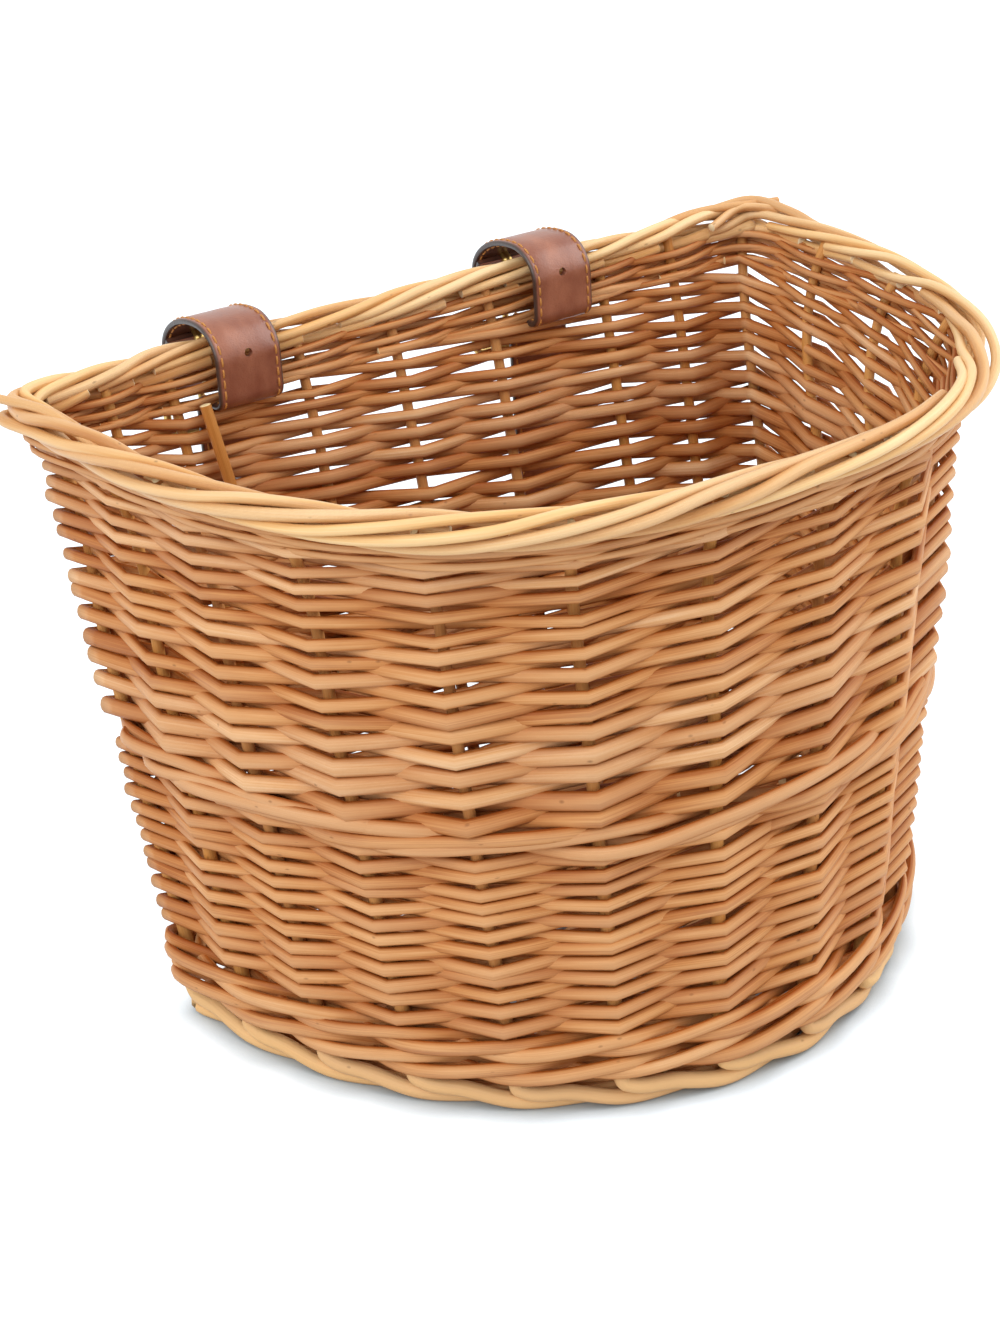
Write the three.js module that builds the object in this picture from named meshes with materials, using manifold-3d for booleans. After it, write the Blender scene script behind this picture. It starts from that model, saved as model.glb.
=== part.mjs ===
// A D-shaped willow bicycle basket with two leather straps over its flat back rim.
// Millimetres, +Z up, +X along the back wall, the curved front towards -Y.
// The origin is under the middle of the whole basket, on the surface it stands on.
import * as THREE from "three";
import Module from "manifold-3d";
import { mergeVertices } from "three/addons/utils/BufferGeometryUtils.js";

// The rim: a D along the middle of the top border
const RIM_WIDTH = 348;
const RIM_DEPTH = 246.5;
const RIM_POWER = 2.7;
const RIM_HEIGHT = 248;

// The walls, along the middle of the stakes: how far they stand in from the rim, and the D at the ground
const WALL_INSET = 10;
const WALL_SETBACK = 2.6;
const BASE_WIDTH = 300;
const BASE_DEPTH = 172;
const BASE_POWER = 1.9;
const BASE_SETBACK = 54;

// Stakes, the upright rods, and the free space between any two rods
const FRONT_SPANS = 13;
const LEFT_SPANS = 2;
const MIDDLE_SPANS = 2;
const RIGHT_SPANS = 2;
const STAKE_BUTT = 6;
const STAKE_TIP = 4.6;
const CLEARANCE = 0.4;
const SHARP_HALF_TURN = 0.5;

// Foot: each stake turns along the ground and passes under its neighbour
const ELBOW_HEIGHT = 9.5;
const ELBOW_RADIUS = 3.5;
const FOOT_BULGE = 1;
const FOOT_TUCK = 8;
const FOOT_FLAT_DEPTH = 0.5;
const LEG_DOWN_SHARE = 0.78;
const LEG_BEND_INSET = 3;
const LEG_CORNER_SHARE = 0.6;
const LEG_TUCK_SHARE = 0.3;

// Two bands of weaving, rods thick at the bottom of a band and thin at its top
const LOWER_ROD_BUTT = 5;
const LOWER_ROD_TIP = 4;
const UPPER_ROD_BUTT = 5.8;
const UPPER_ROD_TIP = 4;

// Wales, ropes of three rods: before two stakes, behind one
const UPSETT_ROD = 5.4;
const UPSETT_BOTTOM = 13;
const MIDDLE_WALE_ROD = 4.6;
const MIDDLE_WALE_HEIGHT = 119;
const TOP_WALE_ROD = 2.8;
const WALE_ROW_GAP = 0.8;

// Top border, a slow twist of thick rods
const BORDER_RODS = 4;
const BORDER_ROD = 5.4;
const BORDER_ROD_GAP = 0.8;
const BORDER_TWISTS = 4;
const BORDER_STEPS_PER_SPAN = 3;

// Woven base inside the foot
const BASE_STICKS = 7;
const BASE_STICK_DIAMETER = 6;
const BASE_ROD = 5;
const BASE_ROW_PITCH = 13;
const BASE_ROW_INSET = 14.5;
const BASE_STICK_INSET = 7;

// Leather straps, each in a span of its own in the back wall
const STRAP_LEFT_X = -82;
const STRAP_RIGHT_X = 64;
const STRAP_PASSAGE = 57;
const STRAP_WIDTH = 28;
const STRAP_THICKNESS = 2.4;
const STRAP_FRONT_REACH = 15.4;
const STRAP_BACK_REACH = 31.5;
const STRAP_RISE = 12.6;
const STRAP_LEG_TOP = -6;
const STRAP_BEND_RADIUS = 5;
const STRAP_HANG = 5.2;
const STRAP_HANG_RADIUS = 4.2;
const STRAP_TAIL_LENGTH = 120;
const STRAP_TIP_LENGTH = 12;
const STRAP_HOLE = 3.4;
const STRAP_HOLE_COUNT = 4;
const STRAP_HOLE_SPACING = 20;
const STRAP_FIRST_HOLE_FROM_TIP = 24;
const STRAP_INSIDE_HOLE_LIFT = 2.7;

// Brass buckle at the back end of each strap
const BUCKLE_WIRE = 3.2;
const BUCKLE_HEIGHT = 22;
const BUCKLE_DROP = 18;
const BUCKLE_SIDE_ROOM = 1;
const BUCKLE_CORNER = 3;
const PRONG_WIDTH = 3;
const PRONG_EYE_WALL = 1.6;
const PRONG_TIP_DIAMETER = 2;
const PRONG_OVERHANG = 2.5;
const PRONG_SLOT_ROOM = 0.6;
const PRONG_SLOT_LENGTH = 10;
const RIVET_SHANK = 2.6;
const RIVET_HEAD = 4.8;
const RIVET_HEAD_HEIGHT = 1;

// Facets
const WEAVER_SIDES = 4;
const STAKE_SIDES = 6;
const BORDER_SIDES = 5;
const WIRE_SIDES = 8;
const HOLE_SIDES = 8;
const STRAP_CURVE_STEPS = 3;
const STRAP_ARCH_STEPS = 4;
const OUTLINE_SAMPLES = 240;

const wasm = await Module();
wasm.setup();

const willowStake = new THREE.MeshStandardMaterial({ color: 0xc48a4e, roughness: 0.6 });
const willowWeave = new THREE.MeshStandardMaterial({ color: 0xc8965c, roughness: 0.6 });
const willowBorder = new THREE.MeshStandardMaterial({ color: 0xe2b878, roughness: 0.55 });
const leather = new THREE.MeshStandardMaterial({ color: 0x70402c, roughness: 0.45 });
const brass = new THREE.MeshStandardMaterial({ color: 0xcdb878, roughness: 0.3, metalness: 1 });

const UP = new THREE.Vector3(0, 0, 1);
const STRAP_SPANS = 2;
const BACK_SPANS = LEFT_SPANS + MIDDLE_SPANS + RIGHT_SPANS + STRAP_SPANS;
const STAKES = FRONT_SPANS + BACK_SPANS;
if (STAKES % 2 === 0 || STAKES % 3 !== 0) {
  throw new Error("the weave needs an odd number of stakes that divides by three");
}
const stakeRadiusAt = (z) => (STAKE_BUTT + ((STAKE_TIP - STAKE_BUTT) * z) / RIM_HEIGHT) / 2;

// Border section: rods side by side round a common centre
const borderTwistRadius = (BORDER_ROD + BORDER_ROD_GAP) / 2 / Math.sin(Math.PI / BORDER_RODS);
const borderReach = borderTwistRadius + BORDER_ROD / 2;

// Strap section, seen along X: y from the middle of the back rim, z from the middle of the border
const halfStrap = STRAP_THICKNESS / 2;
const foldRadius = BUCKLE_WIRE / 2 + CLEARANCE + halfStrap;
const heelY = STRAP_BACK_REACH - foldRadius;
const heelZ = -BUCKLE_DROP;
const layerStep = STRAP_THICKNESS + CLEARANCE;
const rivetOuter = halfStrap + CLEARANCE;
const rivetInner = -layerStep - halfStrap - CLEARANCE;
const rivetCrown = RIVET_HEAD * 0.35;

// Heights of the layers
const waleRise = (rod) => rod + WALE_ROW_GAP;
const waleHalf = (rod) => waleRise(rod) + rod / 2;
const topWaleMiddle = RIM_HEIGHT - borderReach - CLEARANCE - waleHalf(TOP_WALE_ROD);
const strapShare = 0.5 + STRAP_WIDTH / STRAP_PASSAGE / 2;
const slotTop = topWaleMiddle - waleRise(TOP_WALE_ROD) * strapShare - TOP_WALE_ROD / 2;
const slotMiddle = slotTop - CLEARANCE - halfStrap;
const slotBottom = slotMiddle - halfStrap - CLEARANCE;
const upsettMiddle = UPSETT_BOTTOM + waleHalf(UPSETT_ROD);
const lowerBandBottom = upsettMiddle + waleHalf(UPSETT_ROD) + CLEARANCE;
const lowerBandTop = MIDDLE_WALE_HEIGHT - waleHalf(MIDDLE_WALE_ROD) - CLEARANCE;
const upperBandBottom = MIDDLE_WALE_HEIGHT + waleHalf(MIDDLE_WALE_ROD) + CLEARANCE;

// Closed mesh to solid and back, for cuts and joins
function toSolid(geometry) {
  const bare = geometry.clone();
  bare.deleteAttribute("normal");
  bare.deleteAttribute("uv");
  const merged = mergeVertices(bare, 1e-4);
  return new wasm.Manifold(
    new wasm.Mesh({
      numProp: 3,
      vertProperties: new Float32Array(merged.attributes.position.array),
      triVerts: new Uint32Array(merged.index.array),
    }),
  );
}

function toGeometry(solid) {
  const mesh = solid.getMesh();
  const geometry = new THREE.BufferGeometry();
  geometry.setAttribute("position", new THREE.BufferAttribute(mesh.vertProperties, 3));
  geometry.setIndex(new THREE.BufferAttribute(mesh.triVerts, 1));
  geometry.computeVertexNormals();
  return geometry;
}

// A rod of round section through the given points: one ring of corners at each point
function rodGeometry(points, radiusAt, { closed = false, sides, up = UP }) {
  const count = points.length;
  const positions = [];
  const faces = [];
  points.forEach((point, i) => {
    const before = points[closed ? (i + count - 1) % count : Math.max(i - 1, 0)];
    const after = points[closed ? (i + 1) % count : Math.min(i + 1, count - 1)];
    const along = after.clone().sub(before).normalize();
    const side = along.clone().cross(up).normalize();
    const lift = side.clone().cross(along);
    const radius = radiusAt(i / (count - 1));
    for (let k = 0; k < sides; k++) {
      const angle = (2 * Math.PI * k) / sides;
      const corner = point.clone();
      corner.addScaledVector(side, radius * Math.cos(angle));
      corner.addScaledVector(lift, radius * Math.sin(angle));
      positions.push(corner.x, corner.y, corner.z);
    }
  });
  const rings = closed ? count : count - 1;
  for (let i = 0; i < rings; i++) {
    const here = i * sides;
    const next = ((i + 1) % count) * sides;
    for (let k = 0; k < sides; k++) {
      const other = (k + 1) % sides;
      faces.push(here + k, next + k, here + other);
      faces.push(here + other, next + k, next + other);
    }
  }
  if (!closed) {
    const last = (count - 1) * sides;
    for (let k = 1; k < sides - 1; k++) {
      faces.push(0, k, k + 1);
      faces.push(last, last + k + 1, last + k);
    }
  }
  const geometry = new THREE.BufferGeometry();
  geometry.setAttribute("position", new THREE.Float32BufferAttribute(positions, 3));
  geometry.setIndex(faces);
  geometry.computeVertexNormals();
  return geometry;
}

const basket = new THREE.Group();

function add(name, geometry, material) {
  const mesh = new THREE.Mesh(geometry, material);
  mesh.name = name;
  basket.add(mesh);
  return mesh;
}

// Stake places along a straight back, from left to right, with a span of its own for each strap
const wallWidth = RIM_WIDTH - 2 * WALL_INSET;

function backShares() {
  const half = STRAP_PASSAGE / 2;
  const sections = [
    { from: -wallWidth / 2, to: STRAP_LEFT_X - half, spans: LEFT_SPANS },
    { from: STRAP_LEFT_X - half, to: STRAP_LEFT_X + half, spans: 1 },
    { from: STRAP_LEFT_X + half, to: STRAP_RIGHT_X - half, spans: MIDDLE_SPANS },
    { from: STRAP_RIGHT_X - half, to: STRAP_RIGHT_X + half, spans: 1 },
    { from: STRAP_RIGHT_X + half, to: wallWidth / 2, spans: RIGHT_SPANS },
  ];
  const shares = [];
  for (const { from, to, spans } of sections) {
    for (let k = 1; k <= spans; k++) shares.push((from + ((to - from) * k) / spans) / wallWidth);
  }
  return shares.slice(0, -1);
}

// Stake places on a D: evenly from the right corner round the front, then along the back
function stakePlaces(width, depth, power, y) {
  const front = [];
  for (let i = 0; i <= OUTLINE_SAMPLES; i++) {
    const angle = (Math.PI * i) / OUTLINE_SAMPLES;
    const across = Math.cos(angle);
    const x = (width / 2) * Math.sign(across) * Math.abs(across) ** (2 / power);
    front.push(new THREE.Vector3(x, y - depth * Math.sin(angle) ** (2 / power), 0));
  }
  const places = new THREE.CatmullRomCurve3(front).getSpacedPoints(FRONT_SPANS);
  for (const share of backShares()) places.push(new THREE.Vector3(share * width, y, 0));
  return places;
}

const wallDepth = RIM_DEPTH - WALL_SETBACK - WALL_INSET;
const rimPlaces = stakePlaces(RIM_WIDTH, RIM_DEPTH, RIM_POWER, 0);
const topPlaces = stakePlaces(wallWidth, wallDepth, RIM_POWER, -WALL_SETBACK);
const basePlaces = stakePlaces(BASE_WIDTH, BASE_DEPTH, BASE_POWER, -BASE_SETBACK);

// Middle of a stake at a height
function stakeAt(stake, z) {
  const j = (stake + STAKES) % STAKES;
  const place = basePlaces[j].clone().lerp(topPlaces[j], z / RIM_HEIGHT);
  place.z = z;
  return place;
}

// Directions of the wall at a stake: along the wall, outwards, and half the turn it makes there
function wallAt(stake, z) {
  const here = stakeAt(stake, z);
  const into = here.clone().sub(stakeAt(stake - 1, z));
  const out = stakeAt(stake + 1, z).sub(here);
  const span = Math.min(into.length(), out.length());
  into.normalize();
  out.normalize();
  const along = into.clone().add(out).normalize();
  const outward = new THREE.Vector3(-along.y, along.x, 0);
  const halfTurn = Math.acos(Math.min(1, along.dot(out)));
  return { here, along, outward, span, halfTurn };
}

// Where a rod passes a stake on its outer (+1) or inner (-1) side, clear of the stake also where it
// runs on to the other side of the next stake. Round a sharp corner it bends twice.
function passing(stake, z, side, rodRadius) {
  const { here, along, outward, span, halfTurn } = wallAt(stake, z);
  const off = stakeRadiusAt(z) + rodRadius + CLEARANCE;
  if (side > 0 && halfTurn > SHARP_HALF_TURN) {
    const crossing = Math.asin((2 * off) / span);
    const spread = off * Math.tan((halfTurn + crossing) / 2);
    here.addScaledVector(outward, off);
    return [-spread, spread].map((shift) => here.clone().addScaledVector(along, shift));
  }
  let reach = off;
  for (let pass = 0; pass < 4; pass++) {
    const run = Math.hypot(
      span + side * reach * Math.sin(halfTurn),
      off + reach * Math.cos(halfTurn),
    );
    reach = (off * run) / (span * Math.cos(halfTurn) - side * off * Math.sin(halfTurn));
  }
  return [here.addScaledVector(outward, side * reach)];
}

// Stakes: up the wall, and at the foot along the ground under the next stake
const footRadius = STAKE_BUTT / 2;
const groundLine = footRadius - FOOT_FLAT_DEPTH;
const floorSide = 2 * RIM_WIDTH;
const belowFloor = new THREE.BoxGeometry(floorSide, floorSide, floorSide);
const belowFloorSolid = toSolid(belowFloor.translate(0, 0, -floorSide / 2));

for (let j = 0; j < STAKES; j++) {
  const foot = wallAt(j, 0);
  const legAt = (stake, share, outward, z) => {
    const from = wallAt(stake, 0);
    const to = wallAt(stake - 1, 0);
    const point = from.here.lerp(to.here, share);
    point.addScaledVector(from.outward.lerp(to.outward, share).normalize(), outward);
    return point.setZ(z);
  };
  const path = [
    stakeAt(j, RIM_HEIGHT - borderReach - CLEARANCE),
    stakeAt(j, ELBOW_HEIGHT + ELBOW_RADIUS),
    legAt(j, ELBOW_RADIUS / foot.span, FOOT_BULGE, ELBOW_HEIGHT),
  ];
  const roundsCorner = j === 1 || j === FRONT_SPANS + 1;
  if (roundsCorner) {
    path.push(legAt(j, LEG_CORNER_SHARE, FOOT_BULGE, groundLine));
  } else {
    path.push(legAt(j, LEG_DOWN_SHARE, FOOT_BULGE, groundLine));
    path.push(legAt(j - 1, 0, -LEG_BEND_INSET, groundLine));
  }
  path.push(legAt(j - 1, LEG_TUCK_SHARE, -FOOT_TUCK, groundLine));
  const thickness = (share) => (share === 0 ? STAKE_TIP : STAKE_BUTT) / 2;
  const rod = rodGeometry(path, thickness, { sides: STAKE_SIDES, up: foot.outward });
  const standing = toSolid(rod).subtract(belowFloorSolid);
  add(`stake_${String(j + 1).padStart(2, "0")}`, toGeometry(standing), willowStake);
}

// A band of weaving: one rod winds round and round, in front of one stake and behind the next
function band(name, bottom, top, buttRod, tipRod) {
  const first = bottom + buttRod / 2;
  const rise = top - tipRod / 2 - first;
  const buttPitch = buttRod + CLEARANCE;
  const tipPitch = tipRod + CLEARANCE;
  const meanPitch = (buttPitch + tipPitch) / 2;
  const steps = Math.floor((rise / meanPitch) * STAKES);
  const rodAt = (share) => (buttRod + (tipRod - buttRod) * share) / 2;
  const path = [];
  for (let i = 0; i <= steps; i++) {
    const share = i / steps;
    const climb = (buttPitch + ((tipPitch - buttPitch) * share) / 2) / meanPitch;
    const z = first + rise * share * climb;
    path.push(...passing(i % STAKES, z, i % 2 === 0 ? 1 : -1, rodAt(share)));
  }
  add(name, rodGeometry(path, rodAt, { sides: WEAVER_SIDES }), willowWeave);
}

band("lower_weaver", lowerBandBottom, lowerBandTop, LOWER_ROD_BUTT, LOWER_ROD_TIP);
band("upper_weaver", upperBandBottom, slotBottom, UPPER_ROD_BUTT, UPPER_ROD_TIP);

// A wale: three rods, each before two stakes and behind the third, so that at every stake one rod is
// behind, one low in front and one high in front
function wale(name, middle, rod) {
  const rowRise = waleRise(rod);
  const strokes = [
    { side: -1, z: 0 },
    { side: 1, z: rowRise },
    { side: 1, z: -rowRise },
  ];
  strokes.forEach((_, start) => {
    const path = [];
    for (let j = 0; j < STAKES; j++) {
      const stroke = strokes[(j + start) % strokes.length];
      path.push(...passing(j, middle + stroke.z, stroke.side, rod / 2));
    }
    const ring = rodGeometry(path, () => rod / 2, { sides: WEAVER_SIDES, closed: true });
    add(`${name}_${start + 1}`, ring, willowWeave);
  });
}

wale("upsett_wale", upsettMiddle, UPSETT_ROD);
wale("middle_wale", MIDDLE_WALE_HEIGHT, MIDDLE_WALE_ROD);
wale("top_wale", topWaleMiddle, TOP_WALE_ROD);

// Top border: thick rods that twist slowly round each other along the rim
const rimCurve = new THREE.CatmullRomCurve3(rimPlaces, true);
const borderSteps = STAKES * BORDER_STEPS_PER_SPAN;

for (let s = 0; s < BORDER_RODS; s++) {
  const path = [];
  for (let i = 0; i < borderSteps; i++) {
    const share = i / borderSteps;
    const angle = 2 * Math.PI * (s / BORDER_RODS + BORDER_TWISTS * share);
    const along = rimCurve.getTangent(share);
    const side = along.cross(UP).normalize();
    const point = rimCurve.getPoint(share);
    point.addScaledVector(side, borderTwistRadius * Math.cos(angle));
    path.push(point.setZ(RIM_HEIGHT + borderTwistRadius * Math.sin(angle)));
  }
  const rod = rodGeometry(path, () => BORDER_ROD / 2, { sides: BORDER_SIDES, closed: true });
  add(`border_rod_${s + 1}`, rod, willowBorder);
}

// Woven base: sticks from front to back, and one rod that runs across them over and under
const baseStickRadius = BASE_STICK_DIAMETER / 2;
const baseLevel = groundLine + footRadius + CLEARANCE + baseStickRadius;

// A D inside the foot: how far it reaches back to front at x, and to each side at a depth
function innerD(inset) {
  const halfWidth = BASE_WIDTH / 2 - inset;
  const depth = BASE_DEPTH - 2 * inset;
  const bow = (share) => (1 - share ** BASE_POWER) ** (1 / BASE_POWER);
  return {
    halfWidth,
    depth,
    back: -BASE_SETBACK - inset,
    depthAt: (x) => depth * bow(Math.abs(x) / halfWidth),
    halfWidthAt: (reach) => halfWidth * bow(reach / depth),
  };
}

const stickD = innerD(BASE_STICK_INSET);
const rowD = innerD(BASE_ROW_INSET);
const stickPitch = (2 * stickD.halfWidth) / (BASE_STICKS + 1);
const stickXs = [];
for (let i = 0; i < BASE_STICKS; i++) stickXs.push((i - (BASE_STICKS - 1) / 2) * stickPitch);

stickXs.forEach((x, i) => {
  const length = stickD.depthAt(x);
  const stick = new THREE.CylinderGeometry(baseStickRadius, baseStickRadius, length, STAKE_SIDES);
  const mesh = add(`base_stick_${i + 1}`, stick, willowStake);
  mesh.position.set(x, stickD.back - length / 2, baseLevel);
});

const baseRise = baseStickRadius + BASE_ROD / 2 + CLEARANCE;
const stickRoom = baseStickRadius + BASE_ROD + CLEARANCE;

// Where the turns at the ends of the rows lie, clear of the sticks on either side of them
const turns = [];
for (let reach = 0; rowD.halfWidthAt(reach) > stickPitch; reach += BASE_ROW_PITCH) {
  const limit = rowD.halfWidthAt(reach);
  const near = stickXs.find((x) => Math.abs(limit - x) < stickRoom);
  turns.push(near === undefined ? limit : near - stickRoom);
}

const basePath = [];
turns.slice(1).forEach((turn, row) => {
  const y = rowD.back - row * BASE_ROW_PITCH;
  const way = row % 2 === 0 ? 1 : -1;
  const from = -way * turns[row];
  const to = way * turn;
  const points = [new THREE.Vector3(Math.min(from, to), y, baseLevel)];
  stickXs.forEach((x, k) => {
    const over = (k + row) % 2 === 0 ? 1 : -1;
    const crossed = x > Math.min(from, to) && x < Math.max(from, to);
    if (crossed) points.push(new THREE.Vector3(x, y, baseLevel + over * baseRise));
  });
  points.push(new THREE.Vector3(Math.max(from, to), y, baseLevel));
  basePath.push(...(way > 0 ? points : points.reverse()));
});
add("base_weaver", rodGeometry(basePath, () => BASE_ROD / 2, { sides: WEAVER_SIDES }), willowWeave);

// Straps. The centre line runs from the end of the flap round the buckle's heel bar, up, over the
// rim, down inside, out through the wall and down behind it.
const slotDrop = slotMiddle - RIM_HEIGHT;

// A point of the arch, counted in steps from the top of the back leg over to the front leg, and
// set in from its centre line by the inset
function archPoint(step, inset) {
  const turn = (step / STRAP_ARCH_STEPS) * (Math.PI / 2);
  const behind = step <= STRAP_ARCH_STEPS;
  const reach = behind ? STRAP_BACK_REACH : STRAP_FRONT_REACH;
  const foot = behind ? STRAP_LEG_TOP : 0;
  const rise = STRAP_RISE - foot;
  const outward = new THREE.Vector2(Math.cos(turn) / reach, Math.sin(turn) / rise).normalize();
  const point = new THREE.Vector2(reach * Math.cos(turn), foot + rise * Math.sin(turn));
  return point.addScaledVector(outward, -inset);
}

function strapCentreLine() {
  const line = new THREE.Path();
  const flapEnd = archPoint(1, layerStep);
  const flapFoot = archPoint(0, layerStep);
  line.moveTo(flapEnd.x, flapEnd.y);
  line.lineTo(flapFoot.x, flapFoot.y);
  line.lineTo(heelY - foldRadius, heelZ);
  line.absarc(heelY, heelZ, foldRadius, Math.PI, 2 * Math.PI, false);
  for (let step = 0; step <= 2 * STRAP_ARCH_STEPS; step++) {
    const point = archPoint(step, 0);
    line.lineTo(point.x, point.y);
  }
  line.lineTo(-STRAP_FRONT_REACH, slotDrop + STRAP_BEND_RADIUS);
  const bendY = -STRAP_FRONT_REACH + STRAP_BEND_RADIUS;
  line.absarc(bendY, slotDrop + STRAP_BEND_RADIUS, STRAP_BEND_RADIUS, Math.PI, 1.5 * Math.PI, false);
  const turnY = STRAP_HANG - STRAP_HANG_RADIUS;
  line.absarc(turnY, slotDrop - STRAP_HANG_RADIUS, STRAP_HANG_RADIUS, Math.PI / 2, 0, true);
  line.lineTo(STRAP_HANG, slotDrop - STRAP_TAIL_LENGTH);
  const points = line.getPoints(STRAP_CURVE_STEPS);
  return points.filter((p, i) => i === 0 || p.distanceTo(points[i - 1]) > 1e-3);
}

// A ribbon of even thickness along the centre line, as an outline in (y, z)
function ribbon(points, thickness) {
  const left = [];
  const right = [];
  points.forEach((point, i) => {
    const into = point.clone().sub(points[Math.max(i - 1, 0)]).normalize();
    const out = points[Math.min(i + 1, points.length - 1)].clone().sub(point).normalize();
    const along = into.clone().add(out).normalize();
    const cosine = Math.max(along.dot(i === 0 ? out : into), 0.5);
    const half = thickness / 2 / cosine;
    left.push(new THREE.Vector2(point.x - along.y * half, point.y + along.x * half));
    right.push(new THREE.Vector2(point.x + along.y * half, point.y - along.x * half));
  });
  return new THREE.Shape([...left, ...right.reverse()]);
}

// Extrudes an outline drawn in (y, z) along X, centred on x = 0
function alongX(shape, width) {
  const geometry = new THREE.ExtrudeGeometry(shape, { depth: width, bevelEnabled: false });
  geometry.translate(0, 0, -width / 2);
  const turn = new THREE.Matrix4();
  turn.makeBasis(new THREE.Vector3(0, 1, 0), UP, new THREE.Vector3(1, 0, 0));
  return geometry.applyMatrix4(turn);
}

// A round hole along Y
function holeAt(diameter, y, z, length) {
  const hole = new THREE.CylinderGeometry(diameter / 2, diameter / 2, length, HOLE_SIDES);
  return toSolid(hole.translate(0, y, z));
}

// Puts what is made along Y to the rivet's place, half way along the arch's first step
function atRivet(geometry) {
  const from = archPoint(0, 0);
  const to = archPoint(1, 0);
  const tilt = Math.atan2(from.x - to.x, to.y - from.y);
  return geometry.rotateX(tilt).translate(0, (from.x + to.x) / 2, (from.y + to.y) / 2);
}

function strapGeometry() {
  let strap = toSolid(alongX(ribbon(strapCentreLine(), STRAP_THICKNESS), STRAP_WIDTH));
  const tipZ = slotDrop - STRAP_TAIL_LENGTH;
  const topZ = STRAP_RISE + STRAP_THICKNESS;
  const half = STRAP_WIDTH / 2;
  const face = new THREE.Shape();
  face.moveTo(-half - CLEARANCE, topZ);
  face.lineTo(-half - CLEARANCE, tipZ + STRAP_TIP_LENGTH);
  face.quadraticCurveTo(-half * 0.8, tipZ, 0, tipZ);
  face.quadraticCurveTo(half * 0.8, tipZ, half + CLEARANCE, tipZ + STRAP_TIP_LENGTH);
  face.lineTo(half + CLEARANCE, topZ);
  const length = 4 * STRAP_BACK_REACH;
  const trim = new THREE.ExtrudeGeometry(face, { depth: length, bevelEnabled: false, curveSegments: 4 });
  trim.rotateX(Math.PI / 2).translate(0, length / 2, 0);
  strap = strap.intersect(toSolid(trim));
  const deep = 3 * STRAP_THICKNESS;
  strap = strap.subtract(holeAt(STRAP_HOLE, -STRAP_FRONT_REACH, STRAP_INSIDE_HOLE_LIFT, deep));
  for (let i = 0; i < STRAP_HOLE_COUNT; i++) {
    const z = tipZ + STRAP_FIRST_HOLE_FROM_TIP + i * STRAP_HOLE_SPACING;
    strap = strap.subtract(holeAt(STRAP_HOLE, STRAP_HANG, z, deep));
  }
  const slotWidth = PRONG_WIDTH + 2 * PRONG_SLOT_ROOM;
  const slotLow = heelZ - foldRadius - STRAP_THICKNESS;
  const slotHigh = heelZ + PRONG_SLOT_LENGTH;
  const slot = new THREE.BoxGeometry(slotWidth, 4 * foldRadius, slotHigh - slotLow);
  strap = strap.subtract(toSolid(slot.translate(0, heelY, (slotLow + slotHigh) / 2)));
  const bore = RIVET_SHANK + 2 * CLEARANCE;
  const shank = new THREE.CylinderGeometry(bore / 2, bore / 2, 3 * STRAP_THICKNESS, HOLE_SIDES);
  shank.translate(0, -layerStep / 2, 0);
  return toGeometry(strap.subtract(toSolid(atRivet(shank))));
}

// A rivet through flap and leg, with a low head on each face
function rivetGeometry() {
  const profile = [
    new THREE.Vector2(0, rivetInner - RIVET_HEAD_HEIGHT),
    new THREE.Vector2(rivetCrown, rivetInner - RIVET_HEAD_HEIGHT),
    new THREE.Vector2(RIVET_HEAD / 2, rivetInner),
    new THREE.Vector2(RIVET_SHANK / 2, rivetInner),
    new THREE.Vector2(RIVET_SHANK / 2, rivetOuter),
    new THREE.Vector2(RIVET_HEAD / 2, rivetOuter),
    new THREE.Vector2(rivetCrown, rivetOuter + RIVET_HEAD_HEIGHT),
    new THREE.Vector2(0, rivetOuter + RIVET_HEAD_HEIGHT),
  ];
  return atRivet(new THREE.LatheGeometry(profile, HOLE_SIDES));
}

// The buckle's frame: a wire rectangle that hangs from its heel bar, made round that bar
const buckleHalfWidth = STRAP_WIDTH / 2 + BUCKLE_SIDE_ROOM + BUCKLE_WIRE / 2;

function frameGeometry() {
  const corners = [
    { x: 1, z: 0, from: Math.PI / 2 },
    { x: 1, z: -1, from: 0 },
    { x: -1, z: -1, from: -Math.PI / 2 },
    { x: -1, z: 0, from: -Math.PI },
  ];
  const path = [];
  const cornerSteps = 2;
  for (const corner of corners) {
    const top = corner.z === 0 ? -BUCKLE_CORNER : -BUCKLE_HEIGHT + BUCKLE_CORNER;
    for (let k = 0; k <= cornerSteps; k++) {
      const angle = corner.from - (Math.PI / 2) * (k / cornerSteps);
      const x = corner.x * (buckleHalfWidth - BUCKLE_CORNER) + BUCKLE_CORNER * Math.cos(angle);
      path.push(new THREE.Vector3(x, 0, top + BUCKLE_CORNER * Math.sin(angle)));
    }
  }
  const across = new THREE.Vector3(0, 1, 0);
  return rodGeometry(path, () => BUCKLE_WIRE / 2, { closed: true, sides: WIRE_SIDES, up: across });
}

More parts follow.
